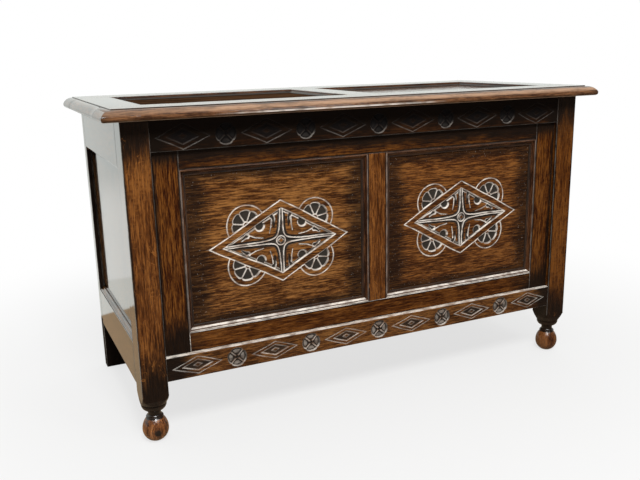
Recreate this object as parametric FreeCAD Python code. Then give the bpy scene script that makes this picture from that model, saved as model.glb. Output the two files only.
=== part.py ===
"""Joined oak coffer chest: posts, rails, panels, a framed lid and two butt hinges.

Millimetres. The origin is on the floor under the middle of the chest. +X runs to the right
end, +Y to the back and +Z up. The front of the chest faces -Y.
"""
import FreeCAD, Part
import math
import os

os.makedirs("parts", exist_ok=True)
V = FreeCAD.Vector

# Overall sizes
LID_LENGTH = 1067.0
LID_THICKNESS = 21.5
LID_FRONT_OVERHANG = 31.0
LID_REAR_OVERHANG = 14.0
CARCASE_LENGTH = 1000.0
CARCASE_DEPTH = 438.0
CARCASE_HEIGHT = 602.7
LID_GAP = 0.6

# Posts and feet
POST = 50.0
REAR_POST_THICKNESS = 25.0
BALL_RADIUS = 24.9
BALL_FLAT_RADIUS = 10.5
BALL_TOP = 46.8
BALL_TOP_RADIUS = 15.4
COLLAR_RADIUS = 16.6
COLLAR_HEIGHT = 3.0
NECK_RADIUS = 12.2
CUP_RADIUS = 24.0
CUP_BOTTOM = 62.0
CUP_RIM = 72.0
SHOULDER_BOTTOM = 76.5
SHOULDER_MIDDLE = (31.4, 87.0)
SHOULDER_TOP = 96.0
POST_CORNER_RADIUS = 36.0

# Carved rails between the front posts
RAIL_SETBACK = 1.0
RAIL_THICKNESS = 28.0
RAIL_TENON_SETBACK = 7.0
BASE_RAIL_BOTTOM = 119.5
BASE_RAIL_TOP = 167.2
FRIEZE_BOTTOM = 546.2

# Inner front frame, set back between the posts and the carved rails
INNER_SETBACK = 9.0
INNER_THICKNESS = 20.0
INNER_STILE = 48.5
INNER_MUNTIN = 41.0
INNER_TOP_RAIL = 34.7
INNER_BOTTOM_RAIL = 38.4
INNER_TONGUE_SETBACK = 7.0
INNER_TENON_LENGTH = 25.0
INNER_MUNTIN_TENON = (12.0, 20.0)

# Panels and the grooves that hold them
FRONT_PANEL_THICKNESS = 7.0
LID_PANEL_THICKNESS = 7.0
PLAIN_PANEL_THICKNESS = 8.0
GROOVE_DEPTH = 8.0
PANEL_PLAY = 0.8
MOULDING_WIDTH = 12.0
MOULDING_HEIGHT = 10.0

# Side and back frames
SIDE_THICKNESS = 22.0
SIDE_PANEL_RECESS = 10.0
SIDE_BOTTOM_RAIL = (109.8, 192.5)
SIDE_TOP_RAIL_BOTTOM = 519.2
SIDE_MOULDING_RISE = 8.0
SIDE_GROOVE = 2.5
SIDE_TENON_SETBACK = 6.0
SIDE_REAR_TENON_LENGTH = 15.0
BACK_BOTTOM_RAIL_TOP = 170.0
BACK_TOP_RAIL_BOTTOM = 540.0
BACK_MUNTIN = 44.0
BACK_MUNTIN_TENON = (14.0, 20.0)
BACK_PANEL_SETBACK = 8.5
BACK_TENON_SETBACK = 7.5
BACK_TENON_LENGTH = 25.0

# Joints between the members
TENON = 10.0
TENON_LENGTH = 30.0
TENON_SHOULDER = 8.0
TONGUE = 6.0
MORTISE_WALL = 2.0

# Bottom
BATTEN = 20.0
BOARD_THICKNESS = 12.0
BOARD_COUNT = 3
BOARD_TOP = 157.0
BOARD_TONGUE = 4.0
BOARD_PLAY = 1.0

# Lid frame
LID_FRONT_RAIL = 93.0
LID_END_RAIL = 85.0
LID_REAR_RAIL = 85.0
LID_MUNTIN = 60.0
LID_PANEL_SUNK = 8.0
LID_TENON_LENGTH = 30.0
LID_TENON_COVER = 22.0
LID_MUNTIN_TENON = 20.0
THUMB_WIDTH = 20.0
QUIRK_DEPTH = 1.6
NOSE_DROP = 13.5
NOSE_FLAT = 3.0
NOSE_ROUND = 5.0

# Carving, cut into the front panels and the two carved rails
MOTIF_PITCH = 78.3
RAIL_LOZENGE = (48.0, 18.5)
RAIL_BOSS = 0.3
RAIL_ROUNDEL_RADIUS = 19.0
RAIL_CARVING_DEPTH = 1.6
PANEL_LOZENGE = (143.0, 80.0)
PANEL_INNER_LOZENGE = (118.0, 66.0)
PANEL_BOSS = 0.16
PANEL_CARVING_DEPTH = 2.0
PANEL_CARVING_DROP = 2.5
LUNETTE_RADIUS = 27.0

# Hinges
HINGE_X = 330.0
HINGE_LENGTH = 64.0
HINGE_LEAF = 1.6
HINGE_LEAF_WIDTH = 20.0
KNUCKLES = 3
KNUCKLE_RADIUS = 3.0
KNUCKLE_GAP = 0.3
KNUCKLE_CLEARANCE = 0.5
PIN_RADIUS = 1.3
PIN_PLAY = 0.05

# Planes worked out from the sizes above
DEPTH = LID_FRONT_OVERHANG + CARCASE_DEPTH + LID_REAR_OVERHANG
FRONT = -DEPTH / 2 + LID_FRONT_OVERHANG
BACK = FRONT + CARCASE_DEPTH
LEFT = -CARCASE_LENGTH / 2
POST_INNER = LEFT + POST
REAR_POST_FACE = BACK - REAR_POST_THICKNESS
LID_BOTTOM = CARCASE_HEIGHT + LID_GAP
LID_TOP = LID_BOTTOM + LID_THICKNESS
HINGE_Y = BACK + KNUCKLE_RADIUS + 0.4
HINGE_Z = CARCASE_HEIGHT + LID_GAP / 2
RAIL_FACE = FRONT + RAIL_SETBACK
RAIL_BACK = RAIL_FACE + RAIL_THICKNESS
INNER_FACE = FRONT + INNER_SETBACK
INNER_BACK = INNER_FACE + INNER_THICKNESS
PANEL_FACE = INNER_FACE + MOULDING_HEIGHT
PANEL_BACK = PANEL_FACE + FRONT_PANEL_THICKNESS
OPENING_BOTTOM = BASE_RAIL_TOP + INNER_BOTTOM_RAIL
OPENING_TOP = FRIEZE_BOTTOM - INNER_TOP_RAIL
OPENING_LEFT = POST_INNER + INNER_STILE
OPENING_RIGHT = -INNER_MUNTIN / 2
INNER_TONGUE_Y = (INNER_FACE + INNER_TONGUE_SETBACK, INNER_FACE + INNER_TONGUE_SETBACK + TONGUE)
FRONT_GROOVE_Y = (PANEL_FACE, PANEL_BACK)
SIDE_INNER = LEFT + SIDE_THICKNESS
SIDE_PANEL_X = (LEFT + SIDE_PANEL_RECESS, LEFT + SIDE_PANEL_RECESS + PLAIN_PANEL_THICKNESS)
SIDE_PANEL_Z = (SIDE_BOTTOM_RAIL[1] - SIDE_GROOVE, SIDE_TOP_RAIL_BOTTOM + SIDE_GROOVE)
SIDE_TENONS = (
    (SIDE_BOTTOM_RAIL[0] + TENON_SHOULDER, SIDE_BOTTOM_RAIL[1] - TENON_SHOULDER),
    (SIDE_TOP_RAIL_BOTTOM + TENON_SHOULDER, CARCASE_HEIGHT - TENON_SHOULDER),
)
PANEL_INSET = GROOVE_DEPTH - PANEL_PLAY

parts = {}


# --- Drawing helpers -------------------------------------------------------------------

def block(x, y, z):
    """A straight block from three (low, high) pairs."""
    return Part.makeBox(x[1] - x[0], y[1] - y[0], z[1] - z[0], V(x[0], y[0], z[0]))


def outline(place, start, *steps):
    """A flat closed face. A step is a point for a straight run, or (middle, end) for an arc."""
    edges = []
    here = place(*start)
    for step in steps + (start,):
        if isinstance(step[0], tuple):
            there = place(*step[1])
            edges.append(Part.Arc(here, place(*step[0]), there).toShape())
        else:
            there = place(*step)
            if here.distanceToPoint(there) > 1e-6:
                edges.append(Part.LineSegment(here, there).toShape())
        here = there
    return Part.Face(Part.Wire(edges))


def along_x(section, x):
    """Extrudes a (y, z) section, given as outline steps, from x[0] to x[1]."""
    face = outline(lambda y, z: V(x[0], y, z), *section)
    return face.extrude(V(x[1] - x[0], 0, 0))


def along_y(section, y):
    """Extrudes an (x, z) section, given as outline steps, from y[0] to y[1]."""
    face = outline(lambda x, z: V(x, y[0], z), *section)
    return face.extrude(V(0, y[1] - y[0], 0))


def joined(first, *others):
    """Fuses pieces that are one piece of wood or metal, with no seams left on flat faces."""
    return first.fuse(list(others)).removeSplitter()


def mirrored(shape):
    """The same piece for the other end of the chest."""
    return shape.mirror(V(0, 0, 0), V(1, 0, 0))


def both_ends(name, shape):
    """Keeps a left piece and its mirrored right one."""
    parts[name + "_left"] = shape
    parts[name + "_right"] = mirrored(shape)


def moulding_strip(start, end, inward, outward, section):
    """One planted strip, mitred at both ends: its section is (inward, outward) from its edge."""
    run = end - start
    along = V(run).normalize()
    strip = outline(lambda u, h: start + inward * u + outward * h, *section).extrude(run)
    corners = [start, end, end + (inward - along) * MOULDING_WIDTH * 1.5,
               start + (inward + along) * MOULDING_WIDTH * 1.5]
    lifted = [corner - outward for corner in corners]
    mitre = Part.Face(Part.makePolygon(lifted + lifted[:1]))
    return strip.common(mitre.extrude(outward * (MOULDING_HEIGHT + 2)))


def moulding_frame(corners, outward, section):
    """Four mitred strips round an opening. Corners go round it, seen from outside."""
    strips = []
    for i, start in enumerate(corners):
        end = corners[(i + 1) % 4]
        inward = V(corners[(i + 2) % 4] - end).normalize()
        strips.append(moulding_strip(start, end, inward, outward, section))
    return strips


def lozenge(centre, half, y):
    """A lozenge prism with its long axis level."""
    x, z = centre
    return along_y(((x - half[0], z), (x, z - half[1]), (x + half[0], z), (x, z + half[1])), y)


def disc(centre, radius, y):
    """A round prism facing the front."""
    return Part.makeCylinder(radius, y[1] - y[0], V(centre[0], y[0], centre[1]), V(0, 1, 0))


# --- Front posts: square above, turned to a ball foot below --------------------------------

def turned_arc(centre, radius, start, end):
    """An arc step of a turned profile, between two angles in radians above level."""
    return tuple((centre[0] + radius * math.cos(angle), centre[1] + radius * math.sin(angle))
                 for angle in ((start + end) / 2, end))


# The ball is turned a little taller than it is wide, with a short straight band round its middle.
BALL_BAND_BOTTOM = math.sqrt(BALL_RADIUS ** 2 - BALL_FLAT_RADIUS ** 2)
BALL_BAND_TOP = BALL_TOP - math.sqrt(BALL_RADIUS ** 2 - BALL_TOP_RADIUS ** 2)
TURNED_FOOT = (
    (0, 0),
    (BALL_FLAT_RADIUS, 0),
    turned_arc((0, BALL_BAND_BOTTOM), BALL_RADIUS, -math.acos(BALL_FLAT_RADIUS / BALL_RADIUS), 0),
    (BALL_RADIUS, BALL_BAND_TOP),
    turned_arc((0, BALL_BAND_TOP), BALL_RADIUS, 0, math.acos(BALL_TOP_RADIUS / BALL_RADIUS)),
    (COLLAR_RADIUS, BALL_TOP),
    (COLLAR_RADIUS, BALL_TOP + COLLAR_HEIGHT),
    (NECK_RADIUS, BALL_TOP + COLLAR_HEIGHT),
    (NECK_RADIUS, CUP_BOTTOM),
    (CUP_RADIUS, CUP_RIM),
    (CUP_RADIUS, SHOULDER_BOTTOM),
    (POST / 2, SHOULDER_BOTTOM),
    SHOULDER_MIDDLE,
    (POST_CORNER_RADIUS, SHOULDER_TOP),
    (POST_CORNER_RADIUS, CARCASE_HEIGHT),
    (0, CARCASE_HEIGHT),
)


def front_post():
    """Left front post, with the mortises and grooves for what joins it."""
    turning = outline(lambda r, z: V(r, 0, z), *TURNED_FOOT).revolve(V(0, 0, 0), V(0, 0, 1), 360)
    turning.translate(V(LEFT + POST / 2, FRONT + POST / 2, 0))
    square = block((LEFT, POST_INNER), (FRONT, FRONT + POST), (0, CARCASE_HEIGHT))
    post = turning.common(square)
    cuts = [
        block((POST_INNER - TONGUE, POST_INNER), INNER_TONGUE_Y, (BASE_RAIL_TOP, FRIEZE_BOTTOM)),
        block(SIDE_PANEL_X, (FRONT + POST - GROOVE_DEPTH, FRONT + POST), SIDE_PANEL_Z),
        carved_rail_tenon(BASE_RAIL_BOTTOM, BASE_RAIL_TOP),
        carved_rail_tenon(FRIEZE_BOTTOM, CARCASE_HEIGHT),
    ]
    for tenon_z in SIDE_TENONS:
        cuts.append(side_tenon(tenon_z, FRONT + POST - TENON_LENGTH, FRONT + POST))
    return post.cut(cuts)


def carved_rail_tenon(bottom, top):
    """Left tenon of a carved rail, inside the front post."""
    near = RAIL_FACE + RAIL_TENON_SETBACK
    inside = (bottom + TENON_SHOULDER, top - TENON_SHOULDER)
    return block((POST_INNER - TENON_LENGTH, POST_INNER), (near, near + TENON), inside)


def side_tenon(z, near, far):
    """Tenon of a left side rail, from y near to y far."""
    outer = LEFT + SIDE_TENON_SETBACK
    return block((outer, outer + TENON), (near, far), z)


both_ends("front_post", front_post())


# --- Rear posts: flat boards that stand on the floor ----------------------------------------

BACK_PANEL_FACE = REAR_POST_FACE + BACK_PANEL_SETBACK
BACK_PANEL_Y = (BACK_PANEL_FACE, BACK_PANEL_FACE + PLAIN_PANEL_THICKNESS)
BACK_BOTTOM_RAIL = (SIDE_BOTTOM_RAIL[0], BACK_BOTTOM_RAIL_TOP)
BACK_TOP_RAIL = (BACK_TOP_RAIL_BOTTOM, CARCASE_HEIGHT)


def back_rail_tenon(z):
    """Left tenon of a back rail, inside the rear post."""
    near = REAR_POST_FACE + BACK_TENON_SETBACK
    shoulder = GROOVE_DEPTH + MORTISE_WALL
    inside = (z[0] + shoulder, z[1] - shoulder)
    return block((POST_INNER - BACK_TENON_LENGTH, POST_INNER), (near, near + TENON), inside)


def rear_post():
    """Left rear post."""
    post = block((LEFT, POST_INNER), (REAR_POST_FACE, BACK), (0, CARCASE_HEIGHT))
    back_groove_z = (BACK_BOTTOM_RAIL[1] - GROOVE_DEPTH, BACK_TOP_RAIL[0] + GROOVE_DEPTH)
    cuts = [
        block(SIDE_PANEL_X, (REAR_POST_FACE, REAR_POST_FACE + GROOVE_DEPTH), SIDE_PANEL_Z),
        block((POST_INNER - GROOVE_DEPTH, POST_INNER), BACK_PANEL_Y, back_groove_z),
        back_rail_tenon(BACK_BOTTOM_RAIL),
        back_rail_tenon(BACK_TOP_RAIL),
    ]
    for tenon_z in SIDE_TENONS:
        cuts.append(side_tenon(tenon_z, REAR_POST_FACE, REAR_POST_FACE + SIDE_REAR_TENON_LENGTH))
    return post.cut(cuts)


both_ends("rear_post", rear_post())


# --- Carved rails ------------------------------------------------------------------------------

def carved_rail(bottom, top, tongue_z):
    """A rail between the front posts, with lozenges and roundels cut alternately along it."""
    rail = block((POST_INNER, -POST_INNER), (RAIL_FACE, RAIL_BACK), (bottom, top))
    tenon = carved_rail_tenon(bottom, top)
    rail = joined(rail, tenon, mirrored(tenon))
    cuts = [block((OPENING_LEFT, -OPENING_LEFT), INNER_TONGUE_Y, tongue_z)]
    middle = (bottom + top) / 2
    sunk = (RAIL_FACE - 1, RAIL_FACE + RAIL_CARVING_DEPTH)
    for step in range(-5, 6):
        centre = (step * MOTIF_PITCH, middle)
        if step % 2:
            boss = lozenge(centre, [half * RAIL_BOSS for half in RAIL_LOZENGE], sunk)
            cuts.append(lozenge(centre, RAIL_LOZENGE, sunk).cut(boss))
        else:
            cuts.append(disc(centre, RAIL_ROUNDEL_RADIUS, sunk))
    return rail.cut(cuts)


parts["base_rail"] = carved_rail(BASE_RAIL_BOTTOM, BASE_RAIL_TOP, (BASE_RAIL_TOP - TONGUE, BASE_RAIL_TOP))
parts["frieze_rail"] = carved_rail(FRIEZE_BOTTOM, CARCASE_HEIGHT, (FRIEZE_BOTTOM, FRIEZE_BOTTOM + TONGUE))


# --- Inner front frame ----------------------------------------------------------------------------

INNER_TOP_TENON_Z = (OPENING_TOP + GROOVE_DEPTH + MORTISE_WALL, FRIEZE_BOTTOM - TENON_SHOULDER)
INNER_BOTTOM_TENON_Z = (BASE_RAIL_TOP + TENON_SHOULDER, OPENING_BOTTOM - GROOVE_DEPTH - MORTISE_WALL)
MUNTIN_HALF_TENON, MUNTIN_TENON_LENGTH = INNER_MUNTIN_TENON


def inner_rail(rail_z, tongue_z, tenon_z, groove_z, muntin_mortise_z):
    """Top or bottom rail of the inner frame: tongue outwards, groove inwards, tenons at the ends."""
    rail = block((OPENING_LEFT, -OPENING_LEFT), (INNER_FACE, INNER_BACK), rail_z)
    tongue = block((OPENING_LEFT, -OPENING_LEFT), INNER_TONGUE_Y, tongue_z)
    tenon = block((OPENING_LEFT - INNER_TENON_LENGTH, OPENING_LEFT), FRONT_GROOVE_Y, tenon_z)
    rail = joined(rail, tongue, tenon, mirrored(tenon))
    groove = block((OPENING_LEFT, -OPENING_LEFT), FRONT_GROOVE_Y, groove_z)
    mortise = block((-MUNTIN_HALF_TENON, MUNTIN_HALF_TENON), FRONT_GROOVE_Y, muntin_mortise_z)
    return rail.cut([groove, mortise])


parts["front_frame_top_rail"] = inner_rail(
    (OPENING_TOP, FRIEZE_BOTTOM),
    (FRIEZE_BOTTOM, FRIEZE_BOTTOM + TONGUE),
    INNER_TOP_TENON_Z,
    (OPENING_TOP, OPENING_TOP + GROOVE_DEPTH),
    (OPENING_TOP, OPENING_TOP + MUNTIN_TENON_LENGTH),
)
parts["front_frame_bottom_rail"] = inner_rail(
    (BASE_RAIL_TOP, OPENING_BOTTOM),
    (BASE_RAIL_TOP - TONGUE, BASE_RAIL_TOP),
    INNER_BOTTOM_TENON_Z,
    (OPENING_BOTTOM - GROOVE_DEPTH, OPENING_BOTTOM),
    (OPENING_BOTTOM - MUNTIN_TENON_LENGTH, OPENING_BOTTOM),
)


def inner_stile():
    """Left stile of the inner frame."""
    stile = block((POST_INNER, OPENING_LEFT), (INNER_FACE, INNER_BACK), (BASE_RAIL_TOP, FRIEZE_BOTTOM))
    tongue = block((POST_INNER - TONGUE, POST_INNER), INNER_TONGUE_Y, (BASE_RAIL_TOP, FRIEZE_BOTTOM))
    groove_z = (OPENING_BOTTOM - GROOVE_DEPTH, OPENING_TOP + GROOVE_DEPTH)
    cuts = [block((OPENING_LEFT - GROOVE_DEPTH, OPENING_LEFT), FRONT_GROOVE_Y, groove_z)]
    for tenon_z in (INNER_TOP_TENON_Z, INNER_BOTTOM_TENON_Z):
        cuts.append(block((OPENING_LEFT - INNER_TENON_LENGTH, OPENING_LEFT), FRONT_GROOVE_Y, tenon_z))
    return joined(stile, tongue).cut(cuts)


both_ends("front_frame_stile", inner_stile())


def inner_muntin():
    """Middle upright of the inner frame, grooved on both edges."""
    half = INNER_MUNTIN / 2
    muntin = block((-half, half), (INNER_FACE, INNER_BACK), (OPENING_BOTTOM, OPENING_TOP))
    tenon_z = (OPENING_BOTTOM - MUNTIN_TENON_LENGTH, OPENING_TOP + MUNTIN_TENON_LENGTH)
    tenon = block((-MUNTIN_HALF_TENON, MUNTIN_HALF_TENON), FRONT_GROOVE_Y, tenon_z)
    groove = block((-half, -half + GROOVE_DEPTH), FRONT_GROOVE_Y, (OPENING_BOTTOM, OPENING_TOP))
    return joined(muntin, tenon).cut([groove, mirrored(groove)])


parts["front_frame_muntin"] = inner_muntin()


# --- Carved front panels --------------------------------------------------------------------------

def front_panel():
    """Left front panel: sunk lozenge with four half roundels behind its strap."""
    x = (OPENING_LEFT - PANEL_INSET, OPENING_RIGHT + PANEL_INSET)
    z = (OPENING_BOTTOM - PANEL_INSET, OPENING_TOP + PANEL_INSET)
    panel = block(x, FRONT_GROOVE_Y, z)
    centre_x = (OPENING_LEFT + OPENING_RIGHT) / 2
    centre_z = (OPENING_BOTTOM + OPENING_TOP) / 2 - PANEL_CARVING_DROP
    sunk = (PANEL_FACE - 1, PANEL_FACE + PANEL_CARVING_DEPTH)
    centre = (centre_x, centre_z)
    strap = lozenge(centre, PANEL_LOZENGE, sunk)
    field = lozenge(centre, PANEL_INNER_LOZENGE, sunk)
    boss = lozenge(centre, [half * PANEL_BOSS for half in PANEL_INNER_LOZENGE], sunk)
    cuts = [field.cut(boss)]
    for side_x in (-1, 1):
        for side_z in (-1, 1):
            across = centre_x + side_x * PANEL_LOZENGE[0] / 2
            up = centre_z + side_z * PANEL_LOZENGE[1] / 2
            cuts.append(disc((across, up), LUNETTE_RADIUS, sunk).cut(strap))
    return panel.cut(cuts)


both_ends("front_panel", front_panel())


# --- Mouldings planted round the front panels: a bead, a slope and a low fillet -----------------

FRONT_MOULDING = (
    (0, 0),
    (0, MOULDING_HEIGHT - 0.6),
    ((1.9, MOULDING_HEIGHT + 0.4), (3.8, MOULDING_HEIGHT - 1.2)),
    (3.8, MOULDING_HEIGHT - 2.4),
    (8.4, 3.2),
    (8.4, 2.2),
    (MOULDING_WIDTH, 1.4),
    (MOULDING_WIDTH, 0),
)

FRONT_OPENING = (
    V(OPENING_LEFT, PANEL_FACE, OPENING_BOTTOM),
    V(OPENING_RIGHT, PANEL_FACE, OPENING_BOTTOM),
    V(OPENING_RIGHT, PANEL_FACE, OPENING_TOP),
    V(OPENING_LEFT, PANEL_FACE, OPENING_TOP),
)

for edge, strip in zip(("bottom", "inner", "top", "outer"),
                       moulding_frame(FRONT_OPENING, V(0, -1, 0), FRONT_MOULDING)):
    parts["front_moulding_left_" + edge] = strip
    parts["front_moulding_right_" + edge] = mirrored(strip)


# --- Sides ---------------------------------------------------------------------------------------

def side_rail(arris, plain, tenon_z):
    """Left side rail: moulding run from its outer arris up (or down) to the panel."""
    way = 1 if arris > plain else -1
    rise = arris + way * SIDE_MOULDING_RISE
    panel_out, panel_in = SIDE_PANEL_X
    section = (
        (LEFT, plain),
        (SIDE_INNER, plain),
        (SIDE_INNER, rise),
        (panel_in, rise),
        (panel_in, arris - way * SIDE_GROOVE),
        (panel_out, arris - way * SIDE_GROOVE),
        (panel_out, rise),
        ((panel_out - 1.8, rise - way * 0.3), (panel_out - 3.4, rise - way * 2.0)),
        (panel_out - 3.4, rise - way * 3.2),
        (panel_out - 8.4, arris + way * 1.4),
        (panel_out - 8.4, arris),
        (LEFT, arris),
    )
    rail = along_y(section, (FRONT + POST, REAR_POST_FACE))
    front_tenon = side_tenon(tenon_z, FRONT + POST - TENON_LENGTH, FRONT + POST)
    rear_tenon = side_tenon(tenon_z, REAR_POST_FACE, REAR_POST_FACE + SIDE_REAR_TENON_LENGTH)
    return joined(rail, front_tenon, rear_tenon)


both_ends("side_bottom_rail", side_rail(SIDE_BOTTOM_RAIL[1], SIDE_BOTTOM_RAIL[0], SIDE_TENONS[0]))
both_ends("side_top_rail", side_rail(SIDE_TOP_RAIL_BOTTOM, CARCASE_HEIGHT, SIDE_TENONS[1]))

side_panel_y = (FRONT + POST - PANEL_INSET, REAR_POST_FACE + PANEL_INSET)
side_panel_z = (SIDE_PANEL_Z[0] + PANEL_PLAY, SIDE_PANEL_Z[1] - PANEL_PLAY)
both_ends("side_panel", block(SIDE_PANEL_X, side_panel_y, side_panel_z))


# --- Back frame and panels -----------------------------------------------------------------------

def back_rail(z, groove_z, mortise_z):
    """A rail between the rear posts, grooved for the back panels."""
    rail = block((POST_INNER, -POST_INNER), (REAR_POST_FACE, BACK), z)
    tenon = back_rail_tenon(z)
    groove = block((POST_INNER, -POST_INNER), BACK_PANEL_Y, groove_z)
    mortise = block((-BACK_MUNTIN_TENON[0], BACK_MUNTIN_TENON[0]), BACK_PANEL_Y, mortise_z)
    return joined(rail, tenon, mirrored(tenon)).cut([groove, mortise])


back_top_rail = back_rail(
    BACK_TOP_RAIL,
    (BACK_TOP_RAIL[0], BACK_TOP_RAIL[0] + GROOVE_DEPTH),
    (BACK_TOP_RAIL[0], BACK_TOP_RAIL[0] + BACK_MUNTIN_TENON[1]),
)
parts["back_bottom_rail"] = back_rail(
    BACK_BOTTOM_RAIL,
    (BACK_BOTTOM_RAIL[1] - GROOVE_DEPTH, BACK_BOTTOM_RAIL[1]),
    (BACK_BOTTOM_RAIL[1] - BACK_MUNTIN_TENON[1], BACK_BOTTOM_RAIL[1]),
)


def back_muntin():
    """Middle upright of the back."""
    half = BACK_MUNTIN / 2
    z = (BACK_BOTTOM_RAIL[1], BACK_TOP_RAIL[0])
    muntin = block((-half, half), (REAR_POST_FACE, BACK), z)
    tenon_z = (z[0] - BACK_MUNTIN_TENON[1], z[1] + BACK_MUNTIN_TENON[1])
    tenon = block((-BACK_MUNTIN_TENON[0], BACK_MUNTIN_TENON[0]), BACK_PANEL_Y, tenon_z)
    groove = block((-half, -half + GROOVE_DEPTH), BACK_PANEL_Y, z)
    return joined(muntin, tenon).cut([groove, mirrored(groove)])


parts["back_muntin"] = back_muntin()
back_panel_x = (POST_INNER - PANEL_INSET, -BACK_MUNTIN / 2 + PANEL_INSET)
back_panel_z = (BACK_BOTTOM_RAIL[1] - PANEL_INSET, BACK_TOP_RAIL[0] + PANEL_INSET)
both_ends("back_panel", block(back_panel_x, BACK_PANEL_Y, back_panel_z))


# --- Bottom boards on two battens ----------------------------------------------------------------

board_bottom = BOARD_TOP - BOARD_THICKNESS
batten_x = (POST_INNER + BOARD_PLAY, -POST_INNER - BOARD_PLAY)
batten_z = (board_bottom - BATTEN, board_bottom)
parts["bottom_batten_front"] = block(batten_x, (RAIL_BACK, RAIL_BACK + BATTEN), batten_z)
parts["bottom_batten_rear"] = block(batten_x, (REAR_POST_FACE - BATTEN, REAR_POST_FACE), batten_z)

board_width = -2 * SIDE_INNER / BOARD_COUNT
board_y = (INNER_BACK, REAR_POST_FACE)
tongue_z = (board_bottom + BOARD_THICKNESS / 3, board_bottom + BOARD_THICKNESS * 2 / 3)
notch_x = (LEFT, POST_INNER + BOARD_PLAY)
notch_y = (FRONT, FRONT + POST + BOARD_PLAY)
post_notch = block(notch_x, notch_y, (board_bottom, BOARD_TOP))
for number in range(BOARD_COUNT):
    low = SIDE_INNER + number * board_width
    board = block((low, low + board_width), board_y, (board_bottom, BOARD_TOP))
    if number < BOARD_COUNT - 1:
        edge_x = (low + board_width, low + board_width + BOARD_TONGUE)
        board = joined(board, block(edge_x, board_y, tongue_z))
    if number > 0:
        board = board.cut(block((low, low + BOARD_TONGUE), board_y, tongue_z))
    parts["bottom_board_%d" % (number + 1)] = board.cut([post_notch, mirrored(post_notch)])


# --- Lid frame: thumb moulding run round the front and both ends --------------------------------

LID_LEFT = -LID_LENGTH / 2
LID_FRONT = FRONT - LID_FRONT_OVERHANG
LID_BACK = BACK + LID_REAR_OVERHANG
LID_OPENING_X = (LID_LEFT + LID_END_RAIL, -LID_MUNTIN / 2)
LID_OPENING_Y = (LID_FRONT + LID_FRONT_RAIL, LID_BACK - LID_REAR_RAIL)
LID_PANEL_Z = (LID_TOP - LID_PANEL_SUNK - LID_PANEL_THICKNESS, LID_TOP - LID_PANEL_SUNK)


def thumb_edge(edge, way):
    """Outline steps of the thumb moulding from the top quirk round the nose to the underside."""
    quirk = LID_TOP - QUIRK_DEPTH
    nose = LID_TOP - NOSE_DROP
    crown = (edge + way * 7.7, LID_TOP - 4.7)
    under = (edge + way * NOSE_ROUND * 0.3, LID_BOTTOM + NOSE_ROUND * 0.3)
    return (
        (edge + way * THUMB_WIDTH, LID_TOP),
        (edge + way * THUMB_WIDTH, quirk),
        (crown, (edge, nose)),
        (edge, nose - NOSE_FLAT),
        (under, (edge + way * NOSE_ROUND, LID_BOTTOM)),
    )


def reversed_steps(steps):
    """The same run of outline steps, walked the other way."""
    ends = [step[1] if isinstance(step[0], tuple) else step for step in steps]
    walked = [ends[-1]]
    for i in range(len(steps) - 1, 0, -1):
        arc = isinstance(steps[i][0], tuple)
        walked.append((steps[i][0], ends[i - 1]) if arc else ends[i - 1])
    return tuple(walked)


def lid_blank():
    """The whole lid outline as one block, with the moulded edges mitred at the front corners."""
    front_section = thumb_edge(LID_FRONT, 1) + ((LID_BACK, LID_BOTTOM), (LID_BACK, LID_TOP))
    end_section = thumb_edge(LID_LEFT, 1) + reversed_steps(thumb_edge(-LID_LEFT, -1))
    lengthwise = along_x(front_section, (LID_LEFT, -LID_LEFT))
    crosswise = along_y(end_section, (LID_FRONT, LID_BACK))
    return lengthwise.common(crosswise)


def lid_end_tenon(y):
    """Tenon of the left end rail."""
    x = (LID_LEFT + LID_TENON_COVER, LID_OPENING_X[0] - GROOVE_DEPTH - MORTISE_WALL)
    return block(x, y, LID_PANEL_Z)


def lid_muntin_tenon(y):
    """Tenon of the lid muntin."""
    return block((-LID_MUNTIN_TENON, LID_MUNTIN_TENON), y, LID_PANEL_Z)


FRONT_TENON_Y = (LID_OPENING_Y[0] - LID_TENON_LENGTH, LID_OPENING_Y[0])
REAR_TENON_Y = (LID_OPENING_Y[1], LID_OPENING_Y[1] + LID_TENON_LENGTH)
blank = lid_blank()
groove_x = (LID_OPENING_X[0] - GROOVE_DEPTH, -LID_OPENING_X[0] + GROOVE_DEPTH)


def lid_long_rail(y, tenon_y, groove_y):
    """Front or rear lid rail, full length, mortised for the end rails and the muntin."""
    rail = blank.common(block((LID_LEFT, -LID_LEFT), y, (LID_BOTTOM, LID_TOP)))
    groove = block(groove_x, groove_y, LID_PANEL_Z)
    end_tenon = lid_end_tenon(tenon_y)
    return rail.cut([groove, end_tenon, mirrored(end_tenon), lid_muntin_tenon(tenon_y)])


parts["lid_front_rail"] = lid_long_rail(
    (LID_FRONT, LID_OPENING_Y[0]),
    FRONT_TENON_Y,
    (LID_OPENING_Y[0] - GROOVE_DEPTH, LID_OPENING_Y[0]),
)
lid_rear_rail = lid_long_rail(
    (LID_OPENING_Y[1], LID_BACK),
    REAR_TENON_Y,
    (LID_OPENING_Y[1], LID_OPENING_Y[1] + GROOVE_DEPTH),
)


def lid_end_rail():
    """Left end rail of the lid."""
    rail = blank.common(block((LID_LEFT, LID_OPENING_X[0]), LID_OPENING_Y, (LID_BOTTOM, LID_TOP)))
    rail = joined(rail, lid_end_tenon(FRONT_TENON_Y), lid_end_tenon(REAR_TENON_Y))
    return rail.cut(block((LID_OPENING_X[0] - GROOVE_DEPTH, LID_OPENING_X[0]), LID_OPENING_Y, LID_PANEL_Z))


both_ends("lid_end_rail", lid_end_rail())


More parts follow.
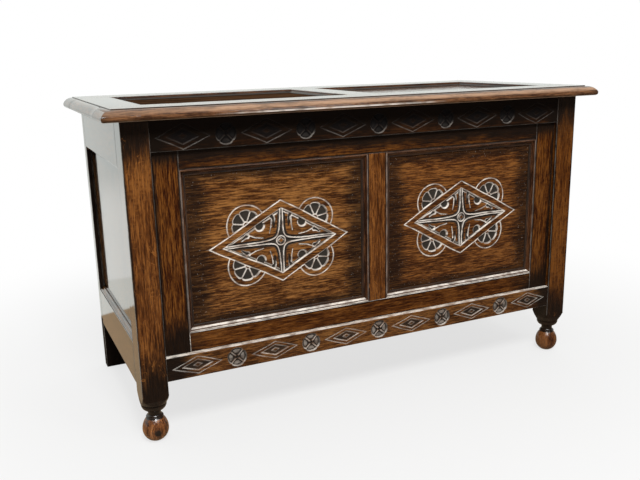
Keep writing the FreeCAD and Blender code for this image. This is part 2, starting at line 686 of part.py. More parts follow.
def lid_muntin():
    """Middle cross rail of the lid."""
    half = LID_MUNTIN / 2
    muntin = block((-half, half), LID_OPENING_Y, (LID_BOTTOM, LID_TOP))
    muntin = joined(muntin, lid_muntin_tenon(FRONT_TENON_Y), lid_muntin_tenon(REAR_TENON_Y))
    groove = block((-half, -half + GROOVE_DEPTH), LID_OPENING_Y, LID_PANEL_Z)
    return muntin.cut([groove, mirrored(groove)])


parts["lid_muntin"] = lid_muntin()
lid_panel_x = (LID_OPENING_X[0] - PANEL_INSET, LID_OPENING_X[1] + PANEL_INSET)
lid_panel_y = (LID_OPENING_Y[0] - PANEL_INSET, LID_OPENING_Y[1] + PANEL_INSET)
both_ends("lid_panel", block(lid_panel_x, lid_panel_y, LID_PANEL_Z))

LID_MOULDING = (
    (0, 0),
    (0, LID_PANEL_SUNK - 1.2),
    ((1.7, LID_PANEL_SUNK - 0.3), (3.4, LID_PANEL_SUNK - 1.5)),
    (3.4, LID_PANEL_SUNK - 2.6),
    (8.6, 2.4),
    (8.6, 1.4),
    (MOULDING_WIDTH, 1.0),
    (MOULDING_WIDTH, 0),
)

LID_OPENING = (
    V(LID_OPENING_X[0], LID_OPENING_Y[0], LID_PANEL_Z[1]),
    V(LID_OPENING_X[1], LID_OPENING_Y[0], LID_PANEL_Z[1]),
    V(LID_OPENING_X[1], LID_OPENING_Y[1], LID_PANEL_Z[1]),
    V(LID_OPENING_X[0], LID_OPENING_Y[1], LID_PANEL_Z[1]),
)

for edge, strip in zip(("front", "inner", "rear", "outer"),
                       moulding_frame(LID_OPENING, V(0, 0, 1), LID_MOULDING)):
    parts["lid_moulding_left_" + edge] = strip
    parts["lid_moulding_right_" + edge] = mirrored(strip)


# --- Butt hinges: leaves let in between the back top rail and the lid ---------------------------

HINGE_HALF = HINGE_LENGTH / 2
LEAF_REAR = HINGE_Y - KNUCKLE_RADIUS - KNUCKLE_CLEARANCE
LEAF_FRONT = BACK - HINGE_LEAF_WIDTH
CARCASE_LEAF_Z = (CARCASE_HEIGHT - HINGE_LEAF, CARCASE_HEIGHT)
LID_LEAF_Z = (LID_BOTTOM, LID_BOTTOM + HINGE_LEAF)


def rod(radius, x):
    """A round bar along the hinge axis."""
    return Part.makeCylinder(radius, x[1] - x[0], V(x[0], HINGE_Y, HINGE_Z), V(1, 0, 0))


def knuckle_spans(centre, first):
    """Every other knuckle along the barrel, starting from number first."""
    pitch = HINGE_LENGTH / KNUCKLES
    spans = []
    for i in range(first, KNUCKLES, 2):
        low = centre - HINGE_HALF + i * pitch
        trim_low = KNUCKLE_GAP / 2 if i > 0 else 0
        trim_high = KNUCKLE_GAP / 2 if i < KNUCKLES - 1 else 0
        spans.append((low + trim_low, low + pitch - trim_high))
    return spans


def leaf(centre, z, first, bore):
    """One hinge leaf with its knuckles."""
    span = (centre - HINGE_HALF, centre + HINGE_HALF)
    plate = block(span, (LEAF_FRONT, LEAF_REAR), z)
    for knuckle in knuckle_spans(centre, first):
        web = block(knuckle, (LEAF_REAR, HINGE_Y), z)
        plate = joined(plate, web, rod(KNUCKLE_RADIUS, knuckle))
    return plate.cut(rod(bore, span))


rail_cuts = []
lid_cuts = []
for side, centre in (("left", -HINGE_X), ("right", HINGE_X)):
    span = (centre - HINGE_HALF, centre + HINGE_HALF)
    barrel = (span[0] - KNUCKLE_CLEARANCE, span[1] + KNUCKLE_CLEARANCE)
    parts["hinge_leaf_carcase_" + side] = leaf(centre, CARCASE_LEAF_Z, 0, PIN_RADIUS)
    parts["hinge_leaf_lid_" + side] = leaf(centre, LID_LEAF_Z, 1, PIN_RADIUS + PIN_PLAY)
    parts["hinge_pin_" + side] = rod(PIN_RADIUS, span)
    rail_cuts.append(block(span, (LEAF_FRONT, BACK), CARCASE_LEAF_Z))
    lid_cuts.append(block(span, (LEAF_FRONT, HINGE_Y), LID_LEAF_Z))
    lid_cuts.append(rod(KNUCKLE_RADIUS + KNUCKLE_CLEARANCE, barrel))

parts["back_top_rail"] = back_top_rail.cut(rail_cuts)
parts["lid_rear_rail"] = lid_rear_rail.cut(lid_cuts)


# --- Write one file for each piece ------------------------------------------------------------

for name, shape in parts.items():
    shape.exportStep("parts/%s.step" % name)
print("%d pieces" % len(parts))
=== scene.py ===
"""A joined oak coffer chest: polished posts on turned feet, carved rails and panels, and a hinged lid.

Metres. The floor is z = 0 under the middle of the chest, +X runs to its right end and the front faces -Y.
"""
import math

import bmesh
import bpy
import numpy as np
from mathutils import Matrix, Vector, noise


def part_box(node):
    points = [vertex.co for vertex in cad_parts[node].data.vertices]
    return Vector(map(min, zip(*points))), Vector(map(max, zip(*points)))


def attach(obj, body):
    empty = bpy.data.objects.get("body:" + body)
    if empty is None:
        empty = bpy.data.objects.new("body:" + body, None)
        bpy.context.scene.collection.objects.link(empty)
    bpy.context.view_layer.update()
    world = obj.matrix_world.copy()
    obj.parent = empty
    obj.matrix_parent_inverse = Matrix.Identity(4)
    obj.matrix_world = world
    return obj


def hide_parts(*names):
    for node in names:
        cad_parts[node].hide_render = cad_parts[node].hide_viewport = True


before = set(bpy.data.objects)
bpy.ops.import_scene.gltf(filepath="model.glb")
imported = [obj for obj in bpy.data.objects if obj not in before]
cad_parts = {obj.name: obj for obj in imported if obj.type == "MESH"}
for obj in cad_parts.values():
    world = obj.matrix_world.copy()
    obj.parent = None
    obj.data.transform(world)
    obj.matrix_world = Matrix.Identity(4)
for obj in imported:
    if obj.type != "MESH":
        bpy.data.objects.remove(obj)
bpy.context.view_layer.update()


# --- Front posts ---------------------------------------------------------------------------
# Each is one length of oak, square above and turned to a ball foot below, waxed to a dark polish.
# The square is planed by hand, so its faces are not quite flat and its arrises are worn round.

X, Y, Z = 0, 1, 2
MM = 0.001


def new_material(name):
    """A material, its node tree and its shader."""
    material = bpy.data.materials.new(name)
    material.use_nodes = True
    return material, material.node_tree, material.node_tree.nodes["Principled BSDF"]


def feed(tree, node, sockets):
    """Fills a node's inputs: sockets maps an input's name or number to a value or to an output."""
    for key, value in sockets.items():
        if isinstance(value, bpy.types.NodeSocket):
            tree.links.new(value, node.inputs[key])
        else:
            node.inputs[key].default_value = value


def add_node(tree, kind, sockets, **settings):
    """Adds a shader node of this kind, with its inputs and settings."""
    node = tree.nodes.new("ShaderNode" + kind)
    for key, value in settings.items():
        setattr(node, key, value)
    feed(tree, node, sockets)
    return node


def calc(tree, operation, *values):
    """The result of one Math node."""
    return add_node(tree, "Math", dict(enumerate(values)), operation=operation).outputs[0]


def ramp(tree, value, low, high, at_low=0.0, at_high=1.0):
    """value, eased from at_low below low to at_high above high."""
    ends = {0: value, 1: low, 2: high, 3: at_low, 4: at_high}
    return add_node(tree, "MapRange", ends, interpolation_type="SMOOTHSTEP").outputs[0]


def vary(tree, value, pattern, amount):
    """value, moved up and down by a pattern that swings about 0.5."""
    return calc(tree, "MULTIPLY_ADD", calc(tree, "SUBTRACT", pattern, 0.5), amount, value)


def rgb(colour):
    """A colour as a socket takes it."""
    return (*colour, 1.0)


def blend(tree, factor, a, b):
    """Two colours mixed; each is an output or three numbers."""
    a, b = [rgb(colour) if isinstance(colour, (tuple, list)) else colour for colour in (a, b)]
    return add_node(tree, "Mix", {0: factor, 6: a, 7: b}, data_type="RGBA").outputs[2]


def stored(tree, name):
    """What the mesh stores under this name."""
    return add_node(tree, "Attribute", {}, attribute_name=name).outputs["Vector"]


def split(tree, vector):
    """The three parts of a vector."""
    return add_node(tree, "SeparateXYZ", {0: vector}).outputs


def streaks(tree, place, along, across, detail=2.0, warp=0.0, roughness=0.5):
    """Noise drawn out along the grain: along and across are how often it changes in a metre."""
    scaled = add_node(tree, "VectorMath", {0: place, 1: (along, across, across)},
                      operation="MULTIPLY")
    inputs = {"Vector": scaled.outputs[0], "Scale": 1.0, "Detail": detail, "Distortion": warp,
              "Roughness": roughness}
    return add_node(tree, "TexNoise", inputs).outputs[0]


# Black wax and painted shade: the darkening towards joints and under overhangs.
BLACK_WAX_AND_SHADE = (0.0085, 0.0055, 0.0040)
# The pale rubbed wood serves both rubbed wear and painted highlights; the gold is only a painted highlight;
# the cut colour is black wax with painted shade.
RUBBED_WOOD_AND_HIGHLIGHT = (0.80, 0.73, 0.65)
PAINTED_GOLD_HIGHLIGHT = (0.36, 0.215, 0.130)
CUT_WAX_AND_SHADE = (0.028, 0.025, 0.021)


def three_tones(tree, tone, dark, brown, gold):
    """The colour of the bare wood for a tone from 0 to 1."""
    stops = add_node(tree, "ValToRGB", {0: tone})
    stops.color_ramp.elements[0].position = 0.08
    stops.color_ramp.elements[0].color = rgb(dark)
    stops.color_ramp.elements[1].position = 0.95
    stops.color_ramp.elements[1].color = rgb(gold)
    stops.color_ramp.elements.new(0.50).color = rgb(brown)
    return stops.outputs[0]


def wax_and_painted_shade(tree, clouds, fibres, shade_and_wax_strength):
    """How dark the black wax and painted shade make each place: most at the joints, where shade falls, with a
    ragged edge.
    """
    ends, sides = split(tree, stored(tree, "wax_and_shade_ends")), split(tree, stored(tree, "wax_and_shade_sides"))
    inward = calc(tree, "MINIMUM", calc(tree, "MINIMUM", ends[0], ends[1]),
                  calc(tree, "MINIMUM", sides[0], sides[1]))
    inward = vary(tree, vary(tree, inward, clouds, 0.9), fibres, 0.5)
    return ramp(tree, inward, 0.30, 1.1, shade_and_wax_strength, 0.0)


def scratch_over(tree, place, colour, gold, scratches):
    """The colour with fine pale scratches that curl across it in places."""
    curl = calc(tree, "ABSOLUTE", calc(tree, "SUBTRACT", streaks(tree, place, 17.0, 42.0, warp=1.2), 0.5))
    where = ramp(tree, streaks(tree, place, 16.0, 30.0, detail=1.0), 0.50, 0.62, 0.0, scratches)
    line = calc(tree, "MULTIPLY", ramp(tree, curl, 0.0, 0.009, 1.0, 0.0), where)
    return blend(tree, line, colour, [2.0 * channel for channel in gold])


def oak(name, dark, brown, gold, shade_and_wax_strength=0.95, fleck=0.5, polish=0.22, gloss=0.20, arris=0.35, figure=1.0,
        open_grain=0.28, scratches=0.0, dust=0.0, streaked=1.0, coat=0.0, wax_shade_and_knot_colour=CUT_WAX_AND_SHADE):
    """Oak whose grain follows the piece's own grain attribute.

    shade_and_wax_strength is how strongly old black wax and painted shade darken it towards the joints, fleck
    how much the rays show, polish how rough it is, gloss how strongly it shines, arris how pale the rubbed
    edges and painted highlights are, figure how much its broad bands differ, open_grain how deep the pores
    are, scratches and dust how much fine curling scratches and pale specks in the wax show, streaked how much
    light and dark streaks differ, coat how thick the wax over it is and wax_shade_and_knot_colour the colour
    of the wax and painted shade in the cuts, and of knots.
    """
    material, tree, shader = new_material(name)
    place = stored(tree, "grain")
    wax_shade_and_knot, wear_and_highlight, golden_highlight = split(tree, stored(tree, "relief"))

    bands = streaks(tree, place, 1.8, 60.0, detail=3.0, warp=0.5)
    dashes = streaks(tree, place, 15.0, 100.0, detail=3.0, warp=0.5)
    fibres = streaks(tree, place, 28.0, 330.0, detail=3.0, warp=0.3, roughness=0.8)
    clouds = streaks(tree, place, 9.0, 20.0, detail=4.0, warp=0.3)
    pores = ramp(tree, streaks(tree, place, 60.0, 800.0), 0.55, 0.66)
    rays = streaks(tree, place, 130.0, 48.0, detail=3.0, warp=1.4)

    tone = vary(tree, vary(tree, 0.5, bands, 0.8 * figure), clouds, 0.9 * figure)
    tone = vary(tree, vary(tree, tone, dashes, 0.6 * streaked), fibres, 3.9 * streaked)
    colour = three_tones(tree, tone, dark, brown, gold)
    ray_share = ramp(tree, calc(tree, "MULTIPLY", rays, clouds), 0.27, 0.38, 0.0, fleck)
    colour = blend(tree, ray_share, colour, gold)
    colour = blend(tree, calc(tree, "MULTIPLY", pores, 0.65), colour, dark)

    # Darkening towards the joints and under overhangs: black wax, with painted shade where shade falls.
    shade_and_wax = wax_and_painted_shade(tree, clouds, fibres, shade_and_wax_strength)
    colour = blend(tree, shade_and_wax, colour, BLACK_WAX_AND_SHADE)
    if dust:
        specks = ramp(tree, streaks(tree, place, 400.0, 400.0, detail=1.0), 0.70, 0.78, 0.0, dust)
        colour = blend(tree, calc(tree, "MULTIPLY", specks, shade_and_wax), colour, RUBBED_WOOD_AND_HIGHLIGHT)
    if scratches:
        colour = scratch_over(tree, place, colour, gold, scratches)
    # A painted golden highlight, where the lid's thumb moulding catches the light.
    golden_highlight_share = calc(tree, "MULTIPLY", golden_highlight, ramp(tree, tone, 0.1, 0.7, 0.5, 1.0))
    colour = blend(tree, golden_highlight_share, colour, PAINTED_GOLD_HIGHLIGHT)
    # The cuts darkened as black wax with painted shade in them, and the black of knots.
    colour = blend(tree, calc(tree, "MULTIPLY", wax_shade_and_knot, 0.96), colour, wax_shade_and_knot_colour)
    # Pale edges: rubbed wear, and painted highlights where edges face the light.
    pale_wear_and_highlight = ramp(tree, streaks(tree, place, 45.0, 90.0, detail=3.0), 0.34, 0.62, 0.35, 1.0)
    pale_wear_and_highlight = calc(tree, "MULTIPLY", calc(tree, "MULTIPLY", wear_and_highlight, pale_wear_and_highlight), arris)
    colour = blend(tree, pale_wear_and_highlight, colour, RUBBED_WOOD_AND_HIGHLIGHT)

    dullness = vary(tree, vary(tree, polish, fibres, 0.5 * polish), clouds, 0.8 * polish)
    dullness = calc(tree, "MULTIPLY_ADD", pores, 0.5 * polish, dullness)
    dullness = calc(tree, "MULTIPLY_ADD", wax_shade_and_knot, 0.30, dullness)

    ripple = streaks(tree, place, 9.0, 34.0, detail=1.0)
    height = calc(tree, "MULTIPLY_ADD", fibres, 0.45, calc(tree, "MULTIPLY", ripple, 0.9))
    height = calc(tree, "MULTIPLY_ADD", pores, -0.40, height)
    bump = add_node(tree, "Bump", {"Height": height, "Strength": open_grain, "Distance": 0.0006})
    feed(tree, shader, {"Base Color": colour, "Roughness": dullness, "Specular IOR Level": gloss,
                        "Coat Weight": coat, "Normal": bump.outputs[0]})
    return material


def shares(co, low, high, axis, reaches):
    """How far a place is from both ends of an axis, as shares of how far the black wax and painted shade
    reach.
    """
    return (co[axis] - low[axis]) / reaches[0], (high[axis] - co[axis]) / reaches[1], 0.0


def lay_grain(bm, axis, low, high, seed, ends=(0.02, 0.02), sides=(0.008, 0.008)):
    """Stores where each vertex is in its board: the grain attribute runs along the board's axis.

    wax_and_shade_ends and wax_and_shade_sides hold each corner's distance from the ends and the sides of its
    face, as shares of how far the black wax and painted shade creep in from there.
    """
    grain = bm.verts.layers.float_vector.get("grain") or bm.verts.layers.float_vector.new("grain")
    wax_and_shade_ends = bm.loops.layers.float_vector.new("wax_and_shade_ends")
    wax_and_shade_sides = bm.loops.layers.float_vector.new("wax_and_shade_sides")
    others = [k for k in (X, Y, Z) if k != axis]
    away = Vector((seed * 3.7, seed * 1.31, seed * 2.17))
    for vert in bm.verts:
        vert[grain] = away + Vector((vert.co[axis], vert.co[others[0]], vert.co[others[1]]))
    for face in bm.faces:
        facing = max((X, Y, Z), key=lambda k: abs(face.normal[k]))
        along = axis if facing != axis else others[0]
        across = next(k for k in (X, Y, Z) if k not in (along, facing))
        for loop in face.loops:
            loop[wax_and_shade_ends] = shares(loop.vert.co, low, high, along, ends)
            loop[wax_and_shade_sides] = shares(loop.vert.co, low, high, across, sides)


def mesh_object(bm, name, materials):
    """Makes an object in the scene from a mesh."""
    mesh = bpy.data.meshes.new(name)
    bm.to_mesh(mesh)
    bm.free()
    for material in materials:
        mesh.materials.append(material)
    made = bpy.data.objects.new(name, mesh)
    bpy.context.scene.collection.objects.link(made)
    return made


SMOOTH_BELOW = math.radians(32)


def keep(bm, name, nodes, body, materials):
    """Makes the finished piece from its mesh, in place of the CAD nodes that it stands for."""
    for edge in bm.edges:
        gentle = len(edge.link_faces) == 2 and edge.calc_face_angle(0.0) < SMOOTH_BELOW
        edge.smooth = edge.smooth and gentle
    for face in bm.faces:
        face.smooth = True
    piece = mesh_object(bm, name, materials)
    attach(piece, body)
    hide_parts(*nodes)
    return piece


post_oak = oak("polished_oak_posts", (0.040, 0.012, 0.003), (0.120, 0.038, 0.008), (0.230, 0.084, 0.017),
               fleck=0.4, arris=0.11, figure=0.8, scratches=0.4, streaked=0.8)
dark_post_oak = oak("polished_oak_dark_post", (0.030, 0.008, 0.002), (0.085, 0.025, 0.004),
                    (0.165, 0.056, 0.009), fleck=0.4, arris=0.11, scratches=0.3, streaked=0.8)
side_oak = oak("polished_oak_sides", (0.020, 0.008, 0.003), (0.085, 0.034, 0.012), (0.20, 0.090, 0.030),
               fleck=0.3, polish=0.04, gloss=0.75, arris=0.5, open_grain=0.05, streaked=1.3, coat=0.5)
# The left foot's copy is lighter and glossier and the right's darker: painted light and shade for how the
# lamps fall on each.
foot_oak = {}
for side, brown, gold, gloss in (("left", (0.155, 0.050, 0.013), (0.36, 0.145, 0.048), 0.6),
                                 ("right", (0.085, 0.025, 0.006), (0.21, 0.080, 0.025), 0.4)):
    foot_oak[side] = oak("polished_oak_foot_" + side, (0.024, 0.007, 0.003), brown, gold, fleck=0.3,
                         polish=0.20, gloss=gloss, figure=2.2, streaked=0.6, wax_shade_and_knot_colour=(0.004, 0.003, 0.002))

FOOT, SIDE = 1, 2
RING_STEPS = 96
SHOULDER_RINGS = 10
SQUARE_RINGS = 22
POST_LOW, POST_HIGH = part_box("front_post_left")
POST_HALF = (POST_HIGH.x - POST_LOW.x) / 2
POST_ARRIS = 1.5 * MM
PLANING = 0.35 * MM
BALL_RADIUS = 24.9 * MM
FLAT_RADIUS = 10.5 * MM
NECK_RADIUS = 15.4 * MM
BALL_TOP = 46.8 * MM
CUP_RIM = 73.5 * MM
SHOULDER = ((25.0 * MM, 76.5 * MM), (31.4 * MM, 87.0 * MM), (36.0 * MM, 96.0 * MM))
KNOT = Vector((-0.04, -0.93, -0.04))
KNOT_SIZE = 12.0
KNOT_RIM = 6.0
NECK_SHADE = 2.5 * MM


def cut_edge(inside, width=1.6):
    """0 outside a cut and 1 in it, down a sloping wall of this width; inside is the distance in."""
    t = np.clip(inside / width, 0.0, 1.0)
    return t * t * (3.0 - 2.0 * t)


def arc(centre, radius, start, end, steps):
    """Points (radius, height) round an arc of a turned profile, angles in degrees from level."""
    angles = [math.radians(start + (end - start) * i / steps) for i in range(steps + 1)]
    return [(centre[0] + radius * math.cos(a), centre[1] + radius * math.sin(a)) for a in angles]


# The upper half of the ball is drawn out a little towards the collar.
ball_middle = math.sqrt(BALL_RADIUS ** 2 - FLAT_RADIUS ** 2)
ball_rise, ball_taper = BALL_TOP - ball_middle, BALL_RADIUS - NECK_RADIUS
upper_curve = (ball_rise ** 2 + ball_taper ** 2) / (2 * ball_taper)
flat_angle = math.degrees(math.acos(FLAT_RADIUS / BALL_RADIUS))
neck_angle = math.degrees(math.asin(ball_rise / upper_curve))
foot_profile = (
    [(FLAT_RADIUS - 1.5 * MM, 0.0)]
    + arc((0.0, ball_middle), BALL_RADIUS, -flat_angle, 0, 12)
    + arc((BALL_RADIUS - upper_curve, ball_middle), upper_curve, 5, neck_angle, 11)
    + arc((15.2 * MM, BALL_TOP + 1.6 * MM), 1.4 * MM, -70, 80, 6)
    + arc((17.4 * MM, BALL_TOP + 8.4 * MM), 5.2 * MM, 250, 170, 8)
    + arc((12.3 * MM, CUP_RIM), 11.8 * MM, -88, -8, 10)
    + [(24.1 * MM, 73.2 * MM), (24.0 * MM, 74.0 * MM), (22.6 * MM, 74.4 * MM), (22.4 * MM, 75.6 * MM),
       (23.8 * MM, 76.1 * MM)]
)


def post_radius(angle, height):
    """How far the post reaches from its axis: a cone below, cut by the square of the post."""
    for (r0, z0), (r1, z1) in zip(SHOULDER, SHOULDER[1:]):
        if height <= z1:
            cone = r0 + (r1 - r0) * (height - z0) / (z1 - z0)
            break
    else:
        cone = SHOULDER[-1][0]
    square = POST_HALF / max(abs(math.cos(angle)), abs(math.sin(angle)))
    return min(cone, square)


def sort_out(geometry):
    """The vertices, the edges and the faces among the geometry."""
    kinds = (bmesh.types.BMVert, bmesh.types.BMEdge, bmesh.types.BMFace)
    return [[thing for thing in geometry if isinstance(thing, kind)] for kind in kinds]


def drawn_out(bm, edges):
    """Extrudes a line of edges in place; gives the new vertices and edges."""
    return sort_out(bmesh.ops.extrude_edge_only(bm, edges=edges)["geom"])[:2]


def next_ring(bm, ring, height, reach):
    """Extrudes the open ring of edges to the given height; reach gives each angle its radius."""
    verts, ring = drawn_out(bm, ring)
    for vert in verts:
        angle = math.atan2(vert.co.y, vert.co.x)
        vert.co = (math.cos(angle) * reach(angle), math.sin(angle) * reach(angle), height)
    return ring


def hand_planed(bm, depth, seed):
    """Takes a little more off some places than off others, so that no face or arris is quite true."""
    bm.normal_update()
    moves = []
    for vert in bm.verts:
        wave = noise.noise(vert.co * 9.0 + Vector((seed, seed * 2.0, 0.0)))
        knock = max(0.0, noise.noise(vert.co * 37.0 + Vector((0.0, seed, seed))) - 0.25)
        moves.append(-vert.normal * depth * (0.5 + 0.5 * wave + knock * 1.6))
    for vert, move in zip(bm.verts, moves):
        vert.co += move


def mark_arrises(bm, rounded, relief):
    """Marks the rounded arrises to be drawn pale, as rubbed wear and on the low rail a painted highlight, and
    keeps the flat faces beside them shaded flat.
    """
    for vert in bm.verts:
        if all(face in rounded for face in vert.link_faces):
            vert[relief] = (0.0, 1.0, 0.0)
    for edge in bm.edges:
        edge.smooth = sum(face in rounded for face in edge.link_faces) != 1


def post_mesh(seed):
    """A post about its own axis: rings from the flat under the ball to the top of the square."""
    bm = bmesh.new()
    relief = bm.verts.layers.float_vector.new("relief")
    bm.verts.layers.float_vector.new("grain")
    bmesh.ops.create_circle(bm, segments=RING_STEPS, radius=foot_profile[0][0])
    ring = list(bm.edges)
    bmesh.ops.contextual_create(bm, geom=ring)
    for radius, height in foot_profile[1:]:
        ring = next_ring(bm, ring, height, lambda angle: radius)
    low, high = SHOULDER[0][1], SHOULDER[-1][1]
    heights = [low + i * (high - low) / SHOULDER_RINGS for i in range(SHOULDER_RINGS + 1)]
    heights += [high + i * (POST_HIGH.z - high) / SQUARE_RINGS for i in range(1, SQUARE_RINGS + 1)]
    for height in heights:
        ring = next_ring(bm, ring, height, lambda angle: post_radius(angle, height))
    bmesh.ops.contextual_create(bm, geom=ring)
    bmesh.ops.recalc_face_normals(bm, faces=bm.faces)
    diagonal = POST_HALF * math.sqrt(2) - 0.1 * MM
    corners = [e for e in bm.edges if all(v.co.xy.length > diagonal for v in e.verts) and
               abs(e.verts[0].co.z - e.verts[1].co.z) > 1 * MM]
    rounded = bmesh.ops.bevel(bm, geom=corners, offset=POST_ARRIS, segments=4, profile=0.5, affect="EDGES",
                              clamp_overlap=True, material=-1)
    mark_arrises(bm, set(rounded["faces"]), relief)
    hand_planed(bm, PLANING, seed)
    return bm


def mark_knot(bm, ball_centre):
    """Marks the black knot in the front of a ball."""
    relief = bm.verts.layers.float_vector.get("relief")
    for vert in [v for v in bm.verts if v.co.z < BALL_TOP]:
        from_knot = math.degrees((vert.co - ball_centre).normalized().angle(KNOT))
        vert[relief] = (0.95 * (1.0 - cut_edge(from_knot - KNOT_SIZE, KNOT_RIM)), 0.0, 0.0)


def part_polish(bm, outward):
    """Gives the foot and the post's outer face their own polish, and the ball black wax with painted shade at
    its neck only, under the collar.
    """
    wax_and_shade_ends = bm.loops.layers.float_vector.get("wax_and_shade_ends")
    wax_and_shade_sides = bm.loops.layers.float_vector.get("wax_and_shade_sides")
    for face in bm.faces:
        height = face.calc_center_median().z
        if face.normal.x * outward > 0.7 and height > SHOULDER[0][1]:
            face.material_index = SIDE
        if height < SHOULDER[1][1]:
            face.material_index = FOOT
        if height < BALL_TOP:
            for loop in face.loops:
                loop[wax_and_shade_ends] = ((BALL_TOP - loop.vert.co.z) / NECK_SHADE, 2.0, 0.0)
                loop[wax_and_shade_sides] = (2.0, 2.0, 0.0)


for side, polish, outward in (("left", post_oak, -1.0), ("right", dark_post_oak, 1.0)):
    node = "front_post_" + side
    low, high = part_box(node)
    axis_x, axis_y = (low.x + high.x) / 2, (low.y + high.y) / 2
    bm = post_mesh(seed=low.x * 10)
    bmesh.ops.translate(bm, verts=bm.verts, vec=(axis_x, axis_y, 0.0))
    foot_end = Vector((low.x, low.y, SHOULDER[0][1] - 20 * MM))
    # Black wax with painted shade reaches in from the foot and from the top, where the lid's shadow falls.
    lay_grain(bm, Z, foot_end, high, seed=3 + low.x, ends=(0.15, 0.11), sides=(0.006, 0.004))
    if side == "left":
        mark_knot(bm, Vector((axis_x, axis_y, ball_middle)))
    part_polish(bm, outward)
    keep(bm, node + "_finished", [node], "carcase", [polish, foot_oak[side], side_oak])


# --- Rear posts, side frames, inner front frame, back and bottom ----------------------------
# Sawn and planed oak boards, tenoned and tongued together. Each arris is rubbed round, and the
# corners where one board meets the next are darkened, as black wax and painted shade.

frame_oak = oak("polished_oak_frame", (0.024, 0.006, 0.002), (0.076, 0.022, 0.004), (0.155, 0.054, 0.009),
                fleck=0.2, gloss=0.12, arris=0.13, streaked=1.2)
# Its pale arrises are drawn bright, as wear with a painted highlight along the rail under the moulding.
low_rail_oak = oak("polished_oak_low_rail", (0.026, 0.007, 0.002), (0.085, 0.026, 0.005),
                   (0.170, 0.062, 0.012), fleck=0.2, gloss=0.12, arris=0.9, streaked=0.8)
# Near black: dark stain with painted shade, where the rear feet stand in shade.
rear_post_oak = oak("black_oak_and_shade_rear_posts", (0.008, 0.005, 0.004), (0.018, 0.011, 0.008),
                    (0.034, 0.020, 0.014), fleck=0.2, polish=0.50, gloss=0.03, arris=0.3)
back_oak = oak("stained_oak_back", (0.040, 0.022, 0.011), (0.095, 0.052, 0.026), (0.16, 0.095, 0.050),
               shade_and_wax_strength=0.6, fleck=0.2, polish=0.50, gloss=0.5, arris=0.2)
bare_oak = oak("bare_oak_inside", (0.10, 0.055, 0.026), (0.20, 0.12, 0.060), (0.30, 0.19, 0.10),
               shade_and_wax_strength=0.35, fleck=0.2, polish=0.55, gloss=0.5, arris=0.1, streaked=0.7)

OUTER, INNER, BACK = 0, 1, 3
TO_RIGHT, TO_BACK, DOWN = Vector((1.0, 0.0, 0.0)), Vector((0.0, 1.0, 0.0)), Vector((0.0, 0.0, -1.0))
STATION = 0.03
BOARD_PLANING = 0.18 * MM


def cut_across(bm, axis, low, high):
    """Cuts a board's faces at even stations along it, so that they can be planed uneven."""
    stations = int((high[axis] - low[axis]) / STATION)
    normal = Vector([float(k == axis) for k in (X, Y, Z)])
    for i in range(1, stations):
        middle = normal * (low[axis] + (high[axis] - low[axis]) * i / stations)
        geometry = list(bm.verts) + list(bm.edges) + list(bm.faces)
        bmesh.ops.bisect_plane(bm, geom=geometry, dist=0.001 * MM, plane_co=middle, plane_no=normal)


def board(node, axis, materials, rounding=0.9, inward=None, shown=None, ends=(0.02, 0.02),
          sides=(0.006, 0.006), seed=0.0, painted_marks=None, body="carcase"):
    """A planed board in the shape of its CAD node, with its outer arrises rubbed round.

    shown is the box that its neighbours leave in sight; black wax and painted shade creep in from its ends
    and sides.
    painted_marks gives the painted shade and painted highlights at a place, or nothing where the board is as
    it would be. Faces that look inward are bare.
    """
    low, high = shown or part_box(node)
    bm = bmesh.new()
    bm.from_mesh(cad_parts[node].data)
    bmesh.ops.remove_doubles(bm, verts=bm.verts, dist=0.01 * MM)
    bmesh.ops.dissolve_limit(bm, angle_limit=math.radians(0.5), verts=bm.verts, edges=bm.edges)
    bm.normal_update()
    relief = bm.verts.layers.float_vector.new("relief")
    sharp = [e for e in bm.edges if len(e.link_faces) == 2 and e.is_convex
             and e.calc_face_angle(0.0) > math.radians(40) and e.calc_length() > 6 * MM]
    rounded = bmesh.ops.bevel(bm, geom=sharp, offset=rounding * MM, segments=3, profile=0.5,
                              affect="EDGES", clamp_overlap=True, material=-1)
    mark_arrises(bm, set(rounded["faces"]), relief)
    cut_across(bm, axis, low, high)
    for vert in bm.verts:
        vert[relief] = painted_marks and painted_marks(vert.co) or vert[relief]
    hand_planed(bm, BOARD_PLANING, seed=seed + low.x + low.z)
    lay_grain(bm, axis, low, high, seed + sum(low) * 5.0, ends, sides)
    if inward is not None:
        for face in bm.faces:
            if face.normal.dot(inward) > 0.7:
                face.material_index = INNER
    return keep(bm, node + "_finished", [node], body, materials)


def in_sight(node, left=None, right=None, low_y=None, high_y=None, low_z=None, high_z=None):
    """The box of a node, cut down to what its neighbours leave in sight."""
    low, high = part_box(node)
    low = Vector([a if b is None else b for a, b in zip(low, (left, low_y, low_z))])
    high = Vector([a if b is None else b for a, b in zip(high, (right, high_y, high_z))])
    return low, high


post_inner, post_rear = POST_HIGH.x, POST_HIGH.y
rear_post_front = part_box("rear_post_left")[0].y
base_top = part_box("base_rail")[1].z
frieze_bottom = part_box("frieze_rail")[0].z
top_rail_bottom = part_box("side_top_rail_left")[0].z
bottom_rail_low, bottom_rail_top = [corner.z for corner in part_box("side_bottom_rail_left")]
side_panel_face = -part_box("side_panel_left")[0].x
opening_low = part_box("front_moulding_left_bottom")[0].z
opening_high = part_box("front_moulding_left_top")[1].z


